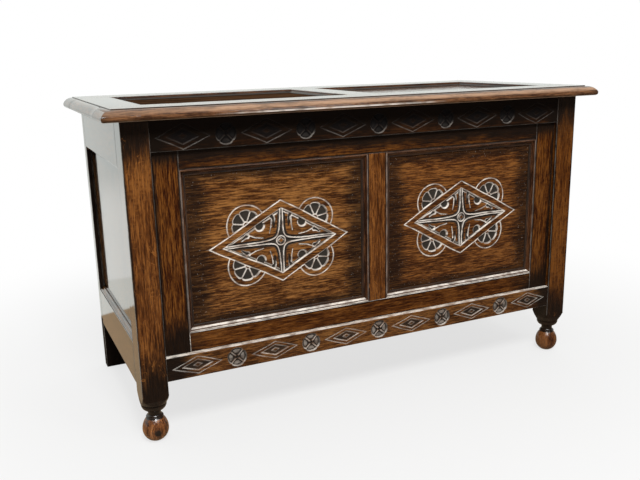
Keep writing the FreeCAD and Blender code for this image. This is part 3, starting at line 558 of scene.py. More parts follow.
def rear_post(side, way):
    """Polished outside above the rails, stained behind, near black below them as dark stain with painted
    shade, and bare towards the chest.
    """
    polishes = [rear_post_oak, bare_oak, side_oak, back_oak]
    post = board("rear_post_" + side, Z, polishes, rounding=1.5, inward=-TO_BACK,
                 ends=(0.16, 0.01), sides=(0.003, 0.003), seed=way)
    for face in post.data.polygons:
        above = face.center.z > bottom_rail_low
        if not above or abs(face.center.x) > side_panel_face:
            face.material_index = SIDE if face.normal.x * way < -0.7 and above else OUTER
        if face.normal.y > 0.7:
            face.material_index = BACK


def front_stile(side, way):
    """One stile of the inner front frame, in sight between the post and the panel's moulding."""
    outer = 0 if side == "left" else 1
    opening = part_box("front_moulding_%s_outer" % side)[outer].x
    seen = [opening, opening]
    seen[outer] = way * post_inner
    # Darkest beside the post and towards the bottom: black wax with painted shade, where the post and base
    # rail shade it.
    reach = [0.004, 0.004]
    reach[outer] = 0.009
    node = "front_frame_stile_" + side
    board(node, Z, [frame_oak, bare_oak], inward=TO_BACK, ends=(0.085, 0.035),
          shown=in_sight(node, left=seen[0], right=seen[1], low_z=base_top, high_z=frieze_bottom),
          sides=reach, seed=way * 4)


for side, way in (("left", 1.0), ("right", -1.0)):
    rear_post(side, way)
    for rail in ("side_top_rail_", "side_bottom_rail_"):
        shown = in_sight(rail + side, low_y=post_rear, high_y=rear_post_front)
        board(rail + side, Y, [side_oak, bare_oak], rounding=0.6,
              inward=way * TO_RIGHT, shown=shown, sides=(0.003, 0.003), seed=way)
    shown = in_sight("side_panel_" + side, low_y=post_rear, high_y=rear_post_front, low_z=bottom_rail_top,
                     high_z=top_rail_bottom)
    board("side_panel_" + side, Z, [side_oak, bare_oak], inward=way * TO_RIGHT,
          shown=shown, sides=(0.012, 0.012), seed=way * 2)
    board("back_panel_" + side, Z, [back_oak, bare_oak], ends=(0.03, 0.03),
          inward=-TO_BACK, seed=way * 3)
    front_stile(side, way)

# The top rail darkens far down from under the frieze: black wax with painted shade.
for node, polish, heights, sides in (
        ("front_frame_top_rail", frame_oak, (opening_high, frieze_bottom), (0.006, 0.042)),
        ("front_frame_bottom_rail", low_rail_oak, (base_top, opening_low), (0.003, 0.004))):
    shown = in_sight(node, left=post_inner, right=-post_inner, low_z=heights[0], high_z=heights[1])
    board(node, X, [polish, bare_oak], rounding=1.2, inward=TO_BACK, shown=shown,
          ends=(0.095, 0.12), sides=sides)
shown = in_sight("front_frame_muntin", left=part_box("front_moulding_left_inner")[1].x,
                 right=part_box("front_moulding_right_inner")[0].x)
board("front_frame_muntin", Z, [post_oak, bare_oak], inward=TO_BACK, shown=shown,
      sides=(0.003, 0.003))
for node, axis in (("back_top_rail", X), ("back_bottom_rail", X), ("back_muntin", Z)):
    board(node, axis, [back_oak, bare_oak], inward=-TO_BACK)
for number in (1, 2, 3):
    board("bottom_board_%d" % number, Y, [bare_oak], rounding=0.7)
for place in ("front", "rear"):
    board("bottom_batten_" + place, X, [bare_oak])


# --- Carved front panels --------------------------------------------------------------------
# Each panel is a thin oak board. A strapwork lozenge crosses four half-hidden roundels, and the
# field inside it is cut back round four leaves and a four-armed star. Millimetres from its centre.

def pale_edge(distance, half=1.25):
    """A pale band along an edge, for rubbed wear and for painted highlights: 1 along it and 0 from a little
    over half away.
    """
    return 1.0 - cut_edge(np.abs(distance) - half + 0.4, 0.8)


def vee(distance, half_width):
    """A V-tool's cut, 1 deep at its middle line."""
    return np.clip(1.0 - np.abs(distance) / half_width, 0.0, 1.0)


def most(*values):
    """The greatest of some values at each place."""
    return np.maximum.reduce(values)


def lozenge_inside(x, z, half_x, half_z):
    """Distance inside a lozenge whose long axis is level; negative outside."""
    return (1.0 - np.abs(x) / half_x - np.abs(z) / half_z) / math.hypot(1.0 / half_x, 1.0 / half_z)


def stroke(x, z, points, wide, narrow):
    """One push of a gouge through the points: 1 along its middle and 0 at its edges."""
    best = np.full_like(x, -9.0)
    runs = list(zip(points, points[1:]))
    for i, ((x0, z0), (x1, z1)) in enumerate(runs):
        t = np.clip(((x - x0) * (x1 - x0) + (z - z0) * (z1 - z0)) / ((x1 - x0) ** 2 + (z1 - z0) ** 2), 0, 1)
        away = np.hypot(x - x0 - t * (x1 - x0), z - z0 - t * (z1 - z0))
        best = most(best, 1.0 - away / (wide + (narrow - wide) * (i + t) / len(runs)))
    return best


def petals_at(x, z, petals, turn):
    """How far from the middle of its petal a place is, 0 to 1, and its distance from the next ridge."""
    petal = (np.arctan2(z, x) - turn) * petals / (2 * math.pi)
    off_middle = np.abs(petal - np.floor(petal) - 0.5) * 2.0
    return off_middle, np.sin((1.0 - off_middle) * math.pi / petals) * np.hypot(x, z)


LOZENGE = (143.0, 80.0)
STRAP_DEPTH = 1.4
ROUNDEL_RING = 38.4
RING_DEPTH = 1.3
PETALS = 7
FAN = 27.6
SCALLOP = 3.2
HUB = 5.6
ROUNDEL_WEAR = 0.85


def roundel_cut(x, z, turn):
    """Depth and rubbed edges of a roundel: a ring round a fan of petals, one ridge at the angle turn."""
    reach = np.hypot(x, z)
    off_middle, ridge = petals_at(x, z, PETALS, turn)
    rim = FAN + 0.8 - SCALLOP * off_middle ** 5
    bowl = 2.2 + 0.9 * np.clip(reach / FAN, 0.0, 1.0)
    hub = cut_edge(HUB + 1.2 - reach)
    depth = cut_edge(rim - reach) * bowl * (0.12 + 0.88 * cut_edge(ridge - 0.5, 2.0)) * (1.0 - hub)
    pale = most(pale_edge(reach - ROUNDEL_RING, 1.15), pale_edge(reach - rim + 0.3),
                pale_edge(ridge) * cut_edge(rim + 0.6 - reach))
    return (most(depth, vee(reach - ROUNDEL_RING, 1.5) * RING_DEPTH),
            most(pale * (1.0 - hub), pale_edge(reach - HUB, 1.1)))


FIELD = (117.0, 64.5)
GROUND_DEPTH = 3.2
STAR_ARM = (1.7, 1.2)
STAR_CURVE = 62.0
STAR_GAP = 2.9
CENTRE_RING = 9.0
CENTRE_BOSS = 6.2
LEAF_MARGIN = 4.0
LEAF_END = (76.0, 14.0)
EYE = (43.6, 33.6, 10.0)
EYE_DEPTH = 3.8
VEIN_DEPTH = 1.5
HOOK = (((19.2, 50.6), (15.8, 45.0), (14.8, 28.0)), 5.2, 0.9)
TIP_NOTCH = (((70.0, 17.0), (74.0, 15.0), (81.0, 9.5)), 4.8, 1.4)
UPRIGHT_VEIN = (((19.8, 43.5), (20.6, 31.0), (23.6, 18.5)), 1.7, 1.1)
LEVEL_VEIN = (((37.0, 10.4), (53.0, 12.8), (69.0, 19.6)), 1.2, 1.8)


def leaf_field_cut(x, z):
    """Depth and rubbed edges of the field: ground, star, and leaves with eyes, veins and notches."""
    a, b = np.abs(x), np.abs(z)
    edge = lozenge_inside(x, z, *FIELD)
    arm_a, arm_b = a - STAR_ARM[0], b - STAR_ARM[1]
    star = (arm_a * arm_b - STAR_CURVE) / most(np.hypot(arm_a, arm_b), np.ones_like(a))
    on_arm = np.minimum(arm_a, arm_b)
    star = np.where(on_arm < 0.0, np.minimum(star, on_arm - 1.0), star)
    hook, tip = stroke(a, b, *HOOK), stroke(a, b, *TIP_NOTCH)
    veins = most(stroke(a, b, *UPRIGHT_VEIN), stroke(a, b, *LEVEL_VEIN))
    reach = np.hypot(x, z)
    eye = np.hypot(a - EYE[0], b - EYE[1])
    boss = lozenge_inside(x, z, CENTRE_BOSS, CENTRE_BOSS)

    leaf_edge = edge - LEAF_MARGIN + LEAF_MARGIN / 2 * cut_edge(a - LEAF_END[0], LEAF_END[1])
    notched = (1.0 - cut_edge(hook, 0.5)) * (1.0 - cut_edge(tip, 0.5))
    leaf = cut_edge(star - STAR_GAP) * cut_edge(leaf_edge) * notched
    raised = most(pale_edge(star + 0.2, 1.5), leaf) * cut_edge(reach - CENTRE_RING - 2.0)
    raised = most(raised, pale_edge(reach - CENTRE_RING, 1.4), cut_edge(boss + 0.6, 1.2))
    bowl = np.clip((EYE[2] - eye) / 4.0, 0.0, 1.0)
    depth = most(GROUND_DEPTH * (1.0 - raised), cut_edge(veins, 1.0) * VEIN_DEPTH,
                 bowl * (2.0 - bowl) * EYE_DEPTH) * cut_edge(edge)

    on_leaf = cut_edge(star - 2.0, 1.2)
    in_field = cut_edge(edge - 0.5, 1.0)
    pale = pale_edge(leaf_edge - 0.3, 0.95) * on_leaf
    pale = pale * (1.0 - cut_edge(hook + 0.15, 0.3)) * (1.0 - cut_edge(tip + 0.1, 0.3))
    pale = most(pale, pale_edge((hook - 0.1) * 5.0, 1.0) * cut_edge(b - 36.0, 8.0) * in_field,
                pale_edge((tip - 0.1) * 4.5, 1.1) * on_leaf * in_field)
    pale = pale * (1.0 - cut_edge(EYE[2] - 1.0 - eye, 1.0))
    pale = most(pale, pale_edge(eye - EYE[2] + 0.7, 1.35) * cut_edge(38.0 - b, 6.0),
                pale_edge(star + 0.2, 1.2) * cut_edge(reach - CENTRE_RING - 1.0), cut_edge(veins - 0.15, 0.45),
                most(pale_edge(reach - CENTRE_RING, 1.1), pale_edge(boss, 0.8)) * (reach < 12.0))
    return depth, most(pale * cut_edge(edge + 0.5), pale_edge(edge - 0.2, 1.1))


def panel_cut(x, z):
    """Depth and rubbed edges of the whole pattern of one panel."""
    strap = lozenge_inside(x, z, *LOZENGE)
    depth, pale = leaf_field_cut(x, z)
    for side_x in (-1, 1):
        for side_z in (-1, 1):
            across = math.atan2(side_z * LOZENGE[0], side_x * LOZENGE[1])
            cut, edge = roundel_cut(x - side_x * LOZENGE[0] / 2, z - side_z * LOZENGE[1] / 2, across)
            depth = most(depth, cut * cut_edge(-strap, 1.2))
            pale = most(pale, ROUNDEL_WEAR * edge * cut_edge(0.8 - strap, 0.8))
    return most(depth, vee(strap, 1.6) * STRAP_DEPTH), most(pale, pale_edge(strap, 1.05))


def spaced(start, end, fine_from, fine_to, fine, coarse):
    """Grid lines from start to end, close together where the carving is."""
    before = np.linspace(start, fine_from, max(2, round((fine_from - start) / coarse)), endpoint=False)
    middle = np.linspace(fine_from, fine_to, round((fine_to - fine_from) / fine), endpoint=False)
    after = np.linspace(fine_to, end, max(2, round((end - fine_to) / coarse)))
    return np.concatenate((before, middle, after))


# How far round the cuts the black wax and painted shade reach, and how dark they are.
WAX_AND_SHADE_SPREAD = 2.4
WAX_AND_SHADE_DIRECTIONS = 8
WAX_AND_SHADE_AROUND = 0.42
ARRIS = 2.0
CHATTER = 0.10


def by_hand(x, z, seed):
    """The place in the pattern that a place on the board gets: off by up to 1.2 mm, as in hand work."""
    off_x = 0.7 * np.sin(z / 17.0 + seed * 5.0) + 0.5 * np.sin(x / 23.0 + z / 31.0 + seed * 9.0)
    off_z = 0.6 * np.sin(x / 29.0 + seed * 7.0) + 0.4 * np.sin(x / 13.0 - z / 19.0 + seed * 3.0)
    return x + off_x, z + off_z


def depth_around(cut, x, z):
    """How deep the cuts are close round each place, for the black wax and painted shade round them."""
    around = np.zeros_like(x)
    for k in range(WAX_AND_SHADE_DIRECTIONS):
        turn = k * 2 * math.pi / WAX_AND_SHADE_DIRECTIONS
        around += cut(x + math.cos(turn) * WAX_AND_SHADE_SPREAD, z + math.sin(turn) * WAX_AND_SHADE_SPREAD)[0] / WAX_AND_SHADE_DIRECTIONS
    return around


def carved_board(node, xs, zs, centre, cut, shown, seed, materials, ends, sides, edge_wear_and_highlight=(0.0, 0.0)):
    """A board along X whose front is cut to a pattern, by hand and so never quite true.

    xs and zs are the lines of its grid. The cuts and the wood close round them are darkened, as black wax
    with painted shade. edge_wear_and_highlight is how pale its rounded lower and upper arrises are, as wear
    and a painted highlight.
    """
    front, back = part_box(node)[0].y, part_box(node)[1].y
    bm = bmesh.new()
    relief = bm.verts.layers.float_vector.new("relief")
    bmesh.ops.create_grid(bm, x_segments=len(xs) - 1, y_segments=len(zs) - 1, size=1.0)
    verts = list(bm.verts)
    column = [round((v.co.x + 1.0) / 2.0 * (len(xs) - 1)) for v in verts]
    row = [round((v.co.y + 1.0) / 2.0 * (len(zs) - 1)) for v in verts]
    x, z = xs[column], zs[row]
    mx, mz = by_hand((x - centre[0]) / MM, (z - centre[1]) / MM, seed)
    depth, pale = cut(mx, mz)
    # Rounded arrises, drawn pale as wear and as a painted highlight.
    for line, wear_and_highlight in ((zs[0], edge_wear_and_highlight[0]), (zs[-1], edge_wear_and_highlight[1])):
        if wear_and_highlight:
            inward = np.abs(z - line) / MM
            depth = most(depth, ARRIS - np.sqrt(ARRIS ** 2 - np.clip(ARRIS - inward, 0.0, ARRIS) ** 2))
            pale = most(pale, wear_and_highlight * (1.0 - cut_edge(inward - 0.8, 0.9)))
    # Black wax with painted shade in and round the cuts.
    wax_and_shade = np.maximum(depth - 1.0, 0.0) / 1.4 + depth_around(cut, mx, mz) * WAX_AND_SHADE_AROUND
    wax_and_shade = np.clip(wax_and_shade, 0.0, 1.0) * (1.0 - pale)
    chatter = CHATTER * np.sin(mx * 1.9 + mz * 0.7) * np.sin(mz * 1.4) * np.clip(depth, 0.0, 1.0)
    for i, vert in enumerate(verts):
        vert.co = (x[i], front + max(0.0, depth[i] + chatter[i]) * MM, z[i])
        vert[relief] = (wax_and_shade[i], pale[i], 0.0)
    rear_verts, rear_edges = drawn_out(bm, [e for e in bm.edges if e.is_boundary])
    for vert in rear_verts:
        vert.co.y = back
        vert[relief] = (0.0, vert[relief].y * 0.2, 0.0)
    rear = bmesh.ops.contextual_create(bm, geom=rear_edges)
    bmesh.ops.recalc_face_normals(bm, faces=bm.faces)
    for face in rear["faces"]:
        face.material_index = INNER
    lay_grain(bm, X, shown[0], shown[1], seed, ends, sides)
    return keep(bm, node + "_carved", [node], "carcase", materials)


panel_oak = {}
for side, brown, gold in (("left", (0.118, 0.043, 0.011), (0.272, 0.114, 0.029)),
                          ("right", (0.094, 0.031, 0.008), (0.222, 0.084, 0.019))):
    panel_oak[side] = oak("polished_oak_panel_" + side, (0.036, 0.012, 0.004), brown, gold, shade_and_wax_strength=0.74,
                          fleck=0.15, gloss=0.15, arris=0.95, dust=0.30, streaked=1.1)
MOULDING_WIDTH = 12 * MM
CARVED_REACH = (146 * MM, 82 * MM)
CARVING_BELOW_MIDDLE = 2.5 * MM
CARVING_OFF_MIDDLE = {"left": 4.5 * MM, "right": 1.5 * MM}
FINE, COARSE = 0.8 * MM, 6 * MM

for side in ("left", "right"):
    node = "front_panel_" + side
    low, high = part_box(node)
    bottom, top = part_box("front_moulding_%s_bottom" % side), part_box("front_moulding_%s_top" % side)
    shown = in_sight(node, left=bottom[0].x + MOULDING_WIDTH, right=bottom[1].x - MOULDING_WIDTH,
                     low_z=bottom[0].z + MOULDING_WIDTH, high_z=top[1].z - MOULDING_WIDTH)
    centre = ((low.x + high.x) / 2 + CARVING_OFF_MIDDLE[side], (low.z + high.z) / 2 - CARVING_BELOW_MIDDLE)
    xs = spaced(low.x, high.x, centre[0] - CARVED_REACH[0], centre[0] + CARVED_REACH[0], FINE, COARSE)
    zs = spaced(low.z, high.z, centre[1] - CARVED_REACH[1], centre[1] + CARVED_REACH[1], FINE, COARSE)
    # Ends and sides darkened, as black wax with painted shade beside the mouldings.
    carved_board(node, xs, zs, centre, panel_cut, shown, 2.0 + low.x, [panel_oak[side], bare_oak],
                 ends=(0.052, 0.046), sides=(0.017, 0.022))


# --- Carved rails ----------------------------------------------------------------------------
# The frieze under the lid and the rail above the feet carry lozenges and roundels in turn, cut
# with a V-tool and gouges straight into the rail.

MOTIF_PITCH = 78.3
INNER_SHARE = (0.66, 0.68)
BOSS_SHARE = (0.17, 0.22)
RAIL_PETALS = 4
RAIL_SCALLOP = 1.8
SHADE_FADE = 18.0


def rail_lozenge_cut(x, z, half, inner_pale):
    """Two lozenges, one in the other, the inner one sunk round a small boss."""
    outer = lozenge_inside(x, z, *half)
    inner = lozenge_inside(x, z, half[0] * INNER_SHARE[0], half[1] * INNER_SHARE[1])
    boss = lozenge_inside(x, z, half[0] * BOSS_SHARE[0], half[1] * BOSS_SHARE[1])
    depth = most(vee(outer, 1.3) * 1.2, cut_edge(inner, 2.6) * 1.4 - cut_edge(boss + 0.8) * 0.8)
    # The inner lozenge's lower half is paler: a painted highlight where light falls on its walls.
    pale = most(pale_edge(inner - 0.8, 0.8) * np.where(z < 0.0, 0.60, 0.45), pale_edge(boss, 0.7) * 0.35)
    return depth, most(pale_edge(outer, 0.8) * 0.50, pale * inner_pale)


def rail_roundel_cut(x, z, radius, inner_pale):
    """Four gouged petals between crossed ridges, inside a scalloped rim."""
    reach = np.hypot(x, z)
    off_middle, ridge = petals_at(x, z, RAIL_PETALS, -math.pi / 4)
    rim = radius + 0.4 - RAIL_SCALLOP * off_middle ** 6
    cut = cut_edge(rim - reach, 1.8) * (1.6 + 1.5 * np.clip(reach / radius, 0.0, 1.0))
    cut = cut * (0.2 + 0.8 * cut_edge(ridge - 0.3, 3.4))
    # The lower rim is drawn paler as a painted highlight, where light falls on its wall.
    lower_rim_highlight = 0.40 + 0.5 * (1.0 - inner_pale)
    rim_pale = pale_edge(reach - rim + 0.8, 1.0) * (0.22 * inner_pale + lower_rim_highlight * cut_edge(-z, radius * 0.7))
    ridge_pale = pale_edge(ridge, 1.1) * 0.55 * cut_edge(rim - 1.5 - reach) * cut_edge(reach - 3.4, 1.0)
    petal_pale = 0.30 * cut_edge(ridge - 3.0, 2.0) * cut_edge(reach - 7.0, 3.0) * cut_edge(rim - 3.0 - reach)
    return (most(cut, cut_edge(3.2 - reach, 1.4) * 2.4),
            most(rim_pale, most(ridge_pale, petal_pale) * inner_pale))


def rail_cut(half, radius, shaded_above, inner_pale):
    """The pattern along a whole rail, x from its middle.

    Above shaded_above its pale edges fade out, as painted shade under the lid; inner_pale is how pale the
    inner cuts are drawn.
    """
    def cut(x, z):
        number = np.round(x / MOTIF_PITCH)
        along = x - number * MOTIF_PITCH
        is_lozenge = np.mod(number, 2) == 1
        from_lozenge = np.where(is_lozenge, along, MOTIF_PITCH - np.abs(along))
        lozenge = rail_lozenge_cut(from_lozenge, z, half, inner_pale)
        roundel = rail_roundel_cut(along, z, radius, inner_pale)
        depth, pale = [np.where(is_lozenge, a, most(a, b)) for a, b in zip(lozenge, roundel)]
        return depth, pale * (1.0 - 0.92 * cut_edge(z - shaded_above, SHADE_FADE))
    return cut


RAIL_PITCH = 0.95 * MM


def carved_rail(node, lozenge, roundel, drop, shaded_above, inner_pale, polish, sides, edge_wear_and_highlight):
    """A carved rail between the front posts, its pattern drop millimetres below its middle."""
    low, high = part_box(node)
    left, right = post_inner, -post_inner
    xs = np.linspace(left, right, round((right - left) / RAIL_PITCH))
    zs = np.linspace(low.z, high.z, round((high.z - low.z) / RAIL_PITCH))
    centre = (0.0, (low.z + high.z) / 2 - drop * MM)
    carved_board(node, xs, zs, centre, rail_cut(lozenge, roundel, shaded_above, inner_pale),
                 in_sight(node, left=left, right=right), 5.0 + low.z, [polish, bare_oak],
                 (0.070, 0.055), sides, edge_wear_and_highlight)


# The frieze is near black with hardly any shine, darkest from its top down: painted shade under the lid's
# overhang, with black wax.
frieze_oak = oak("polished_oak_frieze", (0.008, 0.004, 0.002), (0.019, 0.007, 0.003), (0.045, 0.017, 0.006),
                 shade_and_wax_strength=1.0, fleck=0.2, gloss=0.02, arris=0.24, wax_shade_and_knot_colour=(0.007, 0.006, 0.006))
base_oak = oak("polished_oak_base", (0.035, 0.013, 0.004), (0.110, 0.040, 0.011), (0.21, 0.088, 0.022),
               fleck=0.2, arris=0.85, wax_shade_and_knot_colour=(0.015, 0.012, 0.009))

# The base rail's upper arris is drawn palest, as wear with a painted highlight where it faces the light; on
# the frieze the upper arris and the cuts above its middle fade, as painted shade under the lid.
carved_rail("base_rail", lozenge=(46.5, 17.5), roundel=18.8, drop=0.3, shaded_above=100.0, inner_pale=1.0,
            polish=base_oak, sides=(0.001, 0.001), edge_wear_and_highlight=(0.20, 1.0))
carved_rail("frieze_rail", lozenge=(48.5, 22.0), roundel=19.2, drop=3.5, shaded_above=-14.0, inner_pale=0.3,
            polish=frieze_oak, sides=(0.002, 0.075), edge_wear_and_highlight=(0.30, 0.02))


# --- Mouldings round the panels ---------------------------------------------------------------
# Thin strips run with a bead and a hollow, those of the front with a second small bead, mitred
# round each opening. Their crowns are pale, worn and with a painted highlight, and their low parts dark with
# black wax and painted shade.

FRONT_SECTION = (
    [(0.0, 0.0), (0.0, 8.4)]
    + arc((1.9, 8.3), 1.9, 176, 0, 8)
    + [(3.8, 7.4), (4.3, 7.0)]
    + arc((9.6, 8.6), 5.5, 197, 268, 7)
    + [(9.2, 2.4)]
    + arc((10.5, 1.9), 1.35, 150, 10, 6)
    + [(12.0, 1.2), (12.0, 0.0)]
)
LID_SECTION = (
    [(0.0, 0.0), (0.0, 6.0)]
    + arc((1.7, 6.0), 1.7, 176, 0, 7)
    + [(3.4, 5.2)]
    + arc((8.8, 6.6), 5.0, 198, 268, 6)
    + [(8.9, 1.4), (12.0, 1.0), (12.0, 0.0)]
)
CROWN = 3.2
HOLLOW = (4.0, 6.4)
CROWN_HEIGHT = 3.0
WAX_AND_SHADE_HEIGHT = 2.2
MOULDING_STATION = 0.04


def moulding(node, section, run, inward, outward, body, seed, wear_and_highlight):
    """One mitred strip. inward and outward are directions as (axis, sign); section is (in, out)."""
    low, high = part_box(node)
    (axis_in, sign_in), (axis_out, sign_out) = inward, outward
    base_in = (low if sign_in > 0 else high)[axis_in]
    base_out = (low if sign_out > 0 else high)[axis_out]
    bm = bmesh.new()
    relief = bm.verts.layers.float_vector.new("relief")
    ring = []
    for u, h in section:
        co = Vector((0.0, 0.0, 0.0))
        co[run] = low[run] + u * MM
        co[axis_in] = base_in + sign_in * u * MM
        co[axis_out] = base_out + sign_out * h * MM
        ring.append(bm.verts.new(co))
    bm.faces.new(ring)
    length = high[run] - low[run]
    steps = max(2, round(length / MOULDING_STATION))
    edges = list(bm.edges)
    for step in range(1, steps + 1):
        verts, edges = drawn_out(bm, edges)
        for vert in verts:
            u = abs(vert.co[axis_in] - base_in)
            vert.co[run] = low[run] + u + (length - 2 * u) * step / steps
    bmesh.ops.contextual_create(bm, geom=edges)
    # The crown and hollow of an upward-facing strip are drawn pale as a painted highlight, with wear; low
    # parts are darkened as black wax with painted shade.
    crown_low = max(h for _, h in section) - CROWN_HEIGHT
    catches_light = 1.0 if inward == (Z, 1) else 0.0
    for vert in bm.verts:
        h = abs(vert.co[axis_out] - base_out) / MM
        u = abs(vert.co[axis_in] - base_in) / MM
        crown = cut_edge(CROWN - u, 0.6) * cut_edge(h - crown_low, 1.0)
        hollow = cut_edge(u - HOLLOW[0], 0.4) * (1.0 - cut_edge(u - HOLLOW[1], 1.2)) * catches_light
        pale = wear_and_highlight * max(crown, hollow)
        vert[relief] = (0.85 * (1.0 - cut_edge(h - WAX_AND_SHADE_HEIGHT, 2.0)) * (1.0 - pale), pale, 0.0)
    bmesh.ops.recalc_face_normals(bm, faces=bm.faces)
    lay_grain(bm, run, low, high, seed)
    return keep(bm, node + "_run", [node], body, [moulding_oak])


moulding_oak = oak("polished_oak_moulding", (0.016, 0.006, 0.003), (0.055, 0.019, 0.007),
                   (0.110, 0.043, 0.015), shade_and_wax_strength=0.0, fleck=0.1, polish=0.14, gloss=0.28, arris=1.0,
                   open_grain=0.12)

for side, way in (("left", 1), ("right", -1)):
    # The bottom strips face the light and are drawn palest, as wear with a painted highlight.
    for edge, run, inward, wear_and_highlight in (("bottom", X, (Z, 1), 1.0), ("top", X, (Z, -1), 0.03),
                                    ("outer", Z, (X, way), 0.15), ("inner", Z, (X, -way), 0.17)):
        moulding("front_moulding_%s_%s" % (side, edge), FRONT_SECTION, run, inward, (Y, -1), "carcase",
                 way + run, wear_and_highlight)
    for edge, run, inward in (("front", X, (Y, 1)), ("rear", X, (Y, -1)), ("outer", Y, (X, way)),
                              ("inner", Y, (X, -way))):
        moulding("lid_moulding_%s_%s" % (side, edge), LID_SECTION, run, inward, (Z, 1), "lid", way + run,
                 wear_and_highlight=0.2)


# --- Lid ----------------------------------------------------------------------------------------
# A tenoned frame with a thumb moulding run round its front and ends, and two thin panels sunk in
# it. The frame and the right panel are polished; the left one is dull and darkened as painted shade in its
# opening; below the oak is bare.

lid_oak = oak("polished_oak_lid", (0.024, 0.009, 0.004), (0.090, 0.037, 0.016), (0.20, 0.090, 0.038),
              shade_and_wax_strength=0.5, fleck=0.3, polish=0.07, gloss=0.42, arris=0.85, open_grain=0.10, figure=0.8,
              streaked=0.75)
lid_panel_oak = {
    # Dark and dull: painted shade in the left opening.
    "left": oak("dark_oak_lid_painted_shade", (0.013, 0.007, 0.004), (0.040, 0.019, 0.009), (0.09, 0.044, 0.021),
                shade_and_wax_strength=0.8, fleck=0.2, polish=0.45, gloss=0.0, streaked=0.75),
    "right": oak("polished_oak_lid_panel", (0.028, 0.012, 0.006), (0.105, 0.048, 0.024), (0.20, 0.10, 0.050),
                 shade_and_wax_strength=0.6, fleck=0.3, polish=0.10, gloss=0.5, open_grain=0.08, streaked=0.75)}
lid_low, lid_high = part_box("lid_front_rail")
QUIRK = 20.0
# Where the painted highlights on the thumb moulding start, sit and reach.
HIGHLIGHT_FROM = -0.44
GLINT_BELOW = 16.3
GLINT_MIDDLE, GLINT_HALF = -0.10, 0.16


def lid_edge_shade_and_highlights(co):
    """Painted shade in the quirk of the thumb moulding, and a painted golden highlight on its round, most
    along its shoulder.

    A painted glint runs as a pale line low on the front, where the moulding catches the light.
    """
    from_front = (co.y - lid_low.y) / MM
    inward = min(from_front, (co.x - lid_low.x) / MM, (lid_high.x - co.x) / MM)
    below = (lid_high.z - co.z) / MM
    # Painted shade on the quirk's wall.
    if abs(inward - QUIRK) < 0.4 and 0.5 < below < 3.0:
        return 1.0, 0.0, 0.0
    if inward < QUIRK - 0.4:
        in_front = cut_edge(inward - from_front + 1.5, 1.0)
        highlight_strength = 0.35 + 0.6 * cut_edge(co.x - HIGHLIGHT_FROM, 0.12)
        shoulder_highlight = cut_edge(inward - 1.0, 2.5) * (1.0 - cut_edge(inward - 6.0, 6.0)) * highlight_strength
        along = 1.0 - cut_edge(abs(co.x - GLINT_MIDDLE) - GLINT_HALF, 0.08)
        painted_glint = (1.0 - cut_edge(abs(below - GLINT_BELOW) - 0.6, 0.9)) * along
        return 0.0, painted_glint * in_front, shoulder_highlight * in_front
    return None


for node, axis in (("lid_front_rail", X), ("lid_rear_rail", X), ("lid_end_rail_left", Y),
                   ("lid_end_rail_right", Y), ("lid_muntin", Y)):
    board(node, axis, [lid_oak, bare_oak], rounding=0.7, inward=DOWN, seed=7.0,
          painted_marks=lid_edge_shade_and_highlights, body="lid")
for side in ("left", "right"):
    board("lid_panel_" + side, X, [lid_panel_oak[side], bare_oak], inward=DOWN, seed=8.0,
          body="lid")


# --- Hinges --------------------------------------------------------------------------------------
# Two brass butt hinges let into the back rail and the lid, each leaf held by three slotted
# countersunk screws. The brass has dulled brown.

def brass(name, colour, tarnish):
    """Brass with brown tarnish in patches and fine scratches."""
    material, tree, shader = new_material(name)
    place = add_node(tree, "TexCoord", {}).outputs["Object"]
    patches = ramp(tree, streaks(tree, place, 160.0, 160.0, detail=3.0), 0.38, 0.62)
    scratched = streaks(tree, place, 300.0, 2600.0)
    bump = add_node(tree, "Bump", {"Height": scratched, "Strength": 0.15, "Distance": 0.0002})
    feed(tree, shader, {"Base Color": blend(tree, patches, colour, tarnish), "Metallic": 1.0,
                        "Roughness": ramp(tree, patches, 0.0, 1.0, 0.26, 0.48), "Normal": bump.outputs[0]})
    return material


hinge_brass = brass("dulled_brass", (0.50, 0.34, 0.14), (0.20, 0.12, 0.05))
SCREW_HEAD = 3.2 * MM
SCREW_DEPTH = 0.9 * MM
HEAD_PROUD, HEAD_SUNK = 0.12 * MM, 0.8 * MM
SLOT = 0.9 * MM
SLOT_DEPTH = 0.5 * MM
SCREW_SPACING = 22 * MM
SCREW_FROM_EDGE = 9 * MM


def add_screw(bm, centre, way):
    """One slotted head let into the leaf's face, its slot turned across; it shows upwards for way 1."""
    head = bmesh.ops.create_cone(bm, cap_ends=True, segments=28, radius1=SCREW_HEAD, radius2=SCREW_HEAD,
                                 depth=SCREW_DEPTH, matrix=Matrix.Translation(centre))["verts"]
    faces = {f for v in head for f in v.link_faces}
    edges = {e for v in head for e in v.link_edges}
    for offset in (-SLOT / 2, SLOT / 2):
        cut = bmesh.ops.bisect_plane(bm, geom=list(head) + list(edges) + list(faces),
                                     plane_co=centre + offset * TO_RIGHT, plane_no=TO_RIGHT)["geom"]
        head, edges, faces = sort_out(cut)
    for vert in head:
        outer = (vert.co.z - centre.z) * way > 0
        vert.co.z = centre.z + (HEAD_PROUD if outer else -HEAD_SUNK) * way
    slot_face = [f for f in faces if f.is_valid and abs(f.normal.z) > 0.9 and f.normal.z * way > 0
                 and abs(f.calc_center_median().x - centre.x) < SLOT * 0.3]
    sunk = bmesh.ops.extrude_face_region(bm, geom=slot_face)["geom"]
    bmesh.ops.translate(bm, vec=SLOT_DEPTH * way * DOWN, verts=sort_out(sunk)[0])
    bmesh.ops.delete(bm, geom=slot_face, context="FACES_ONLY")


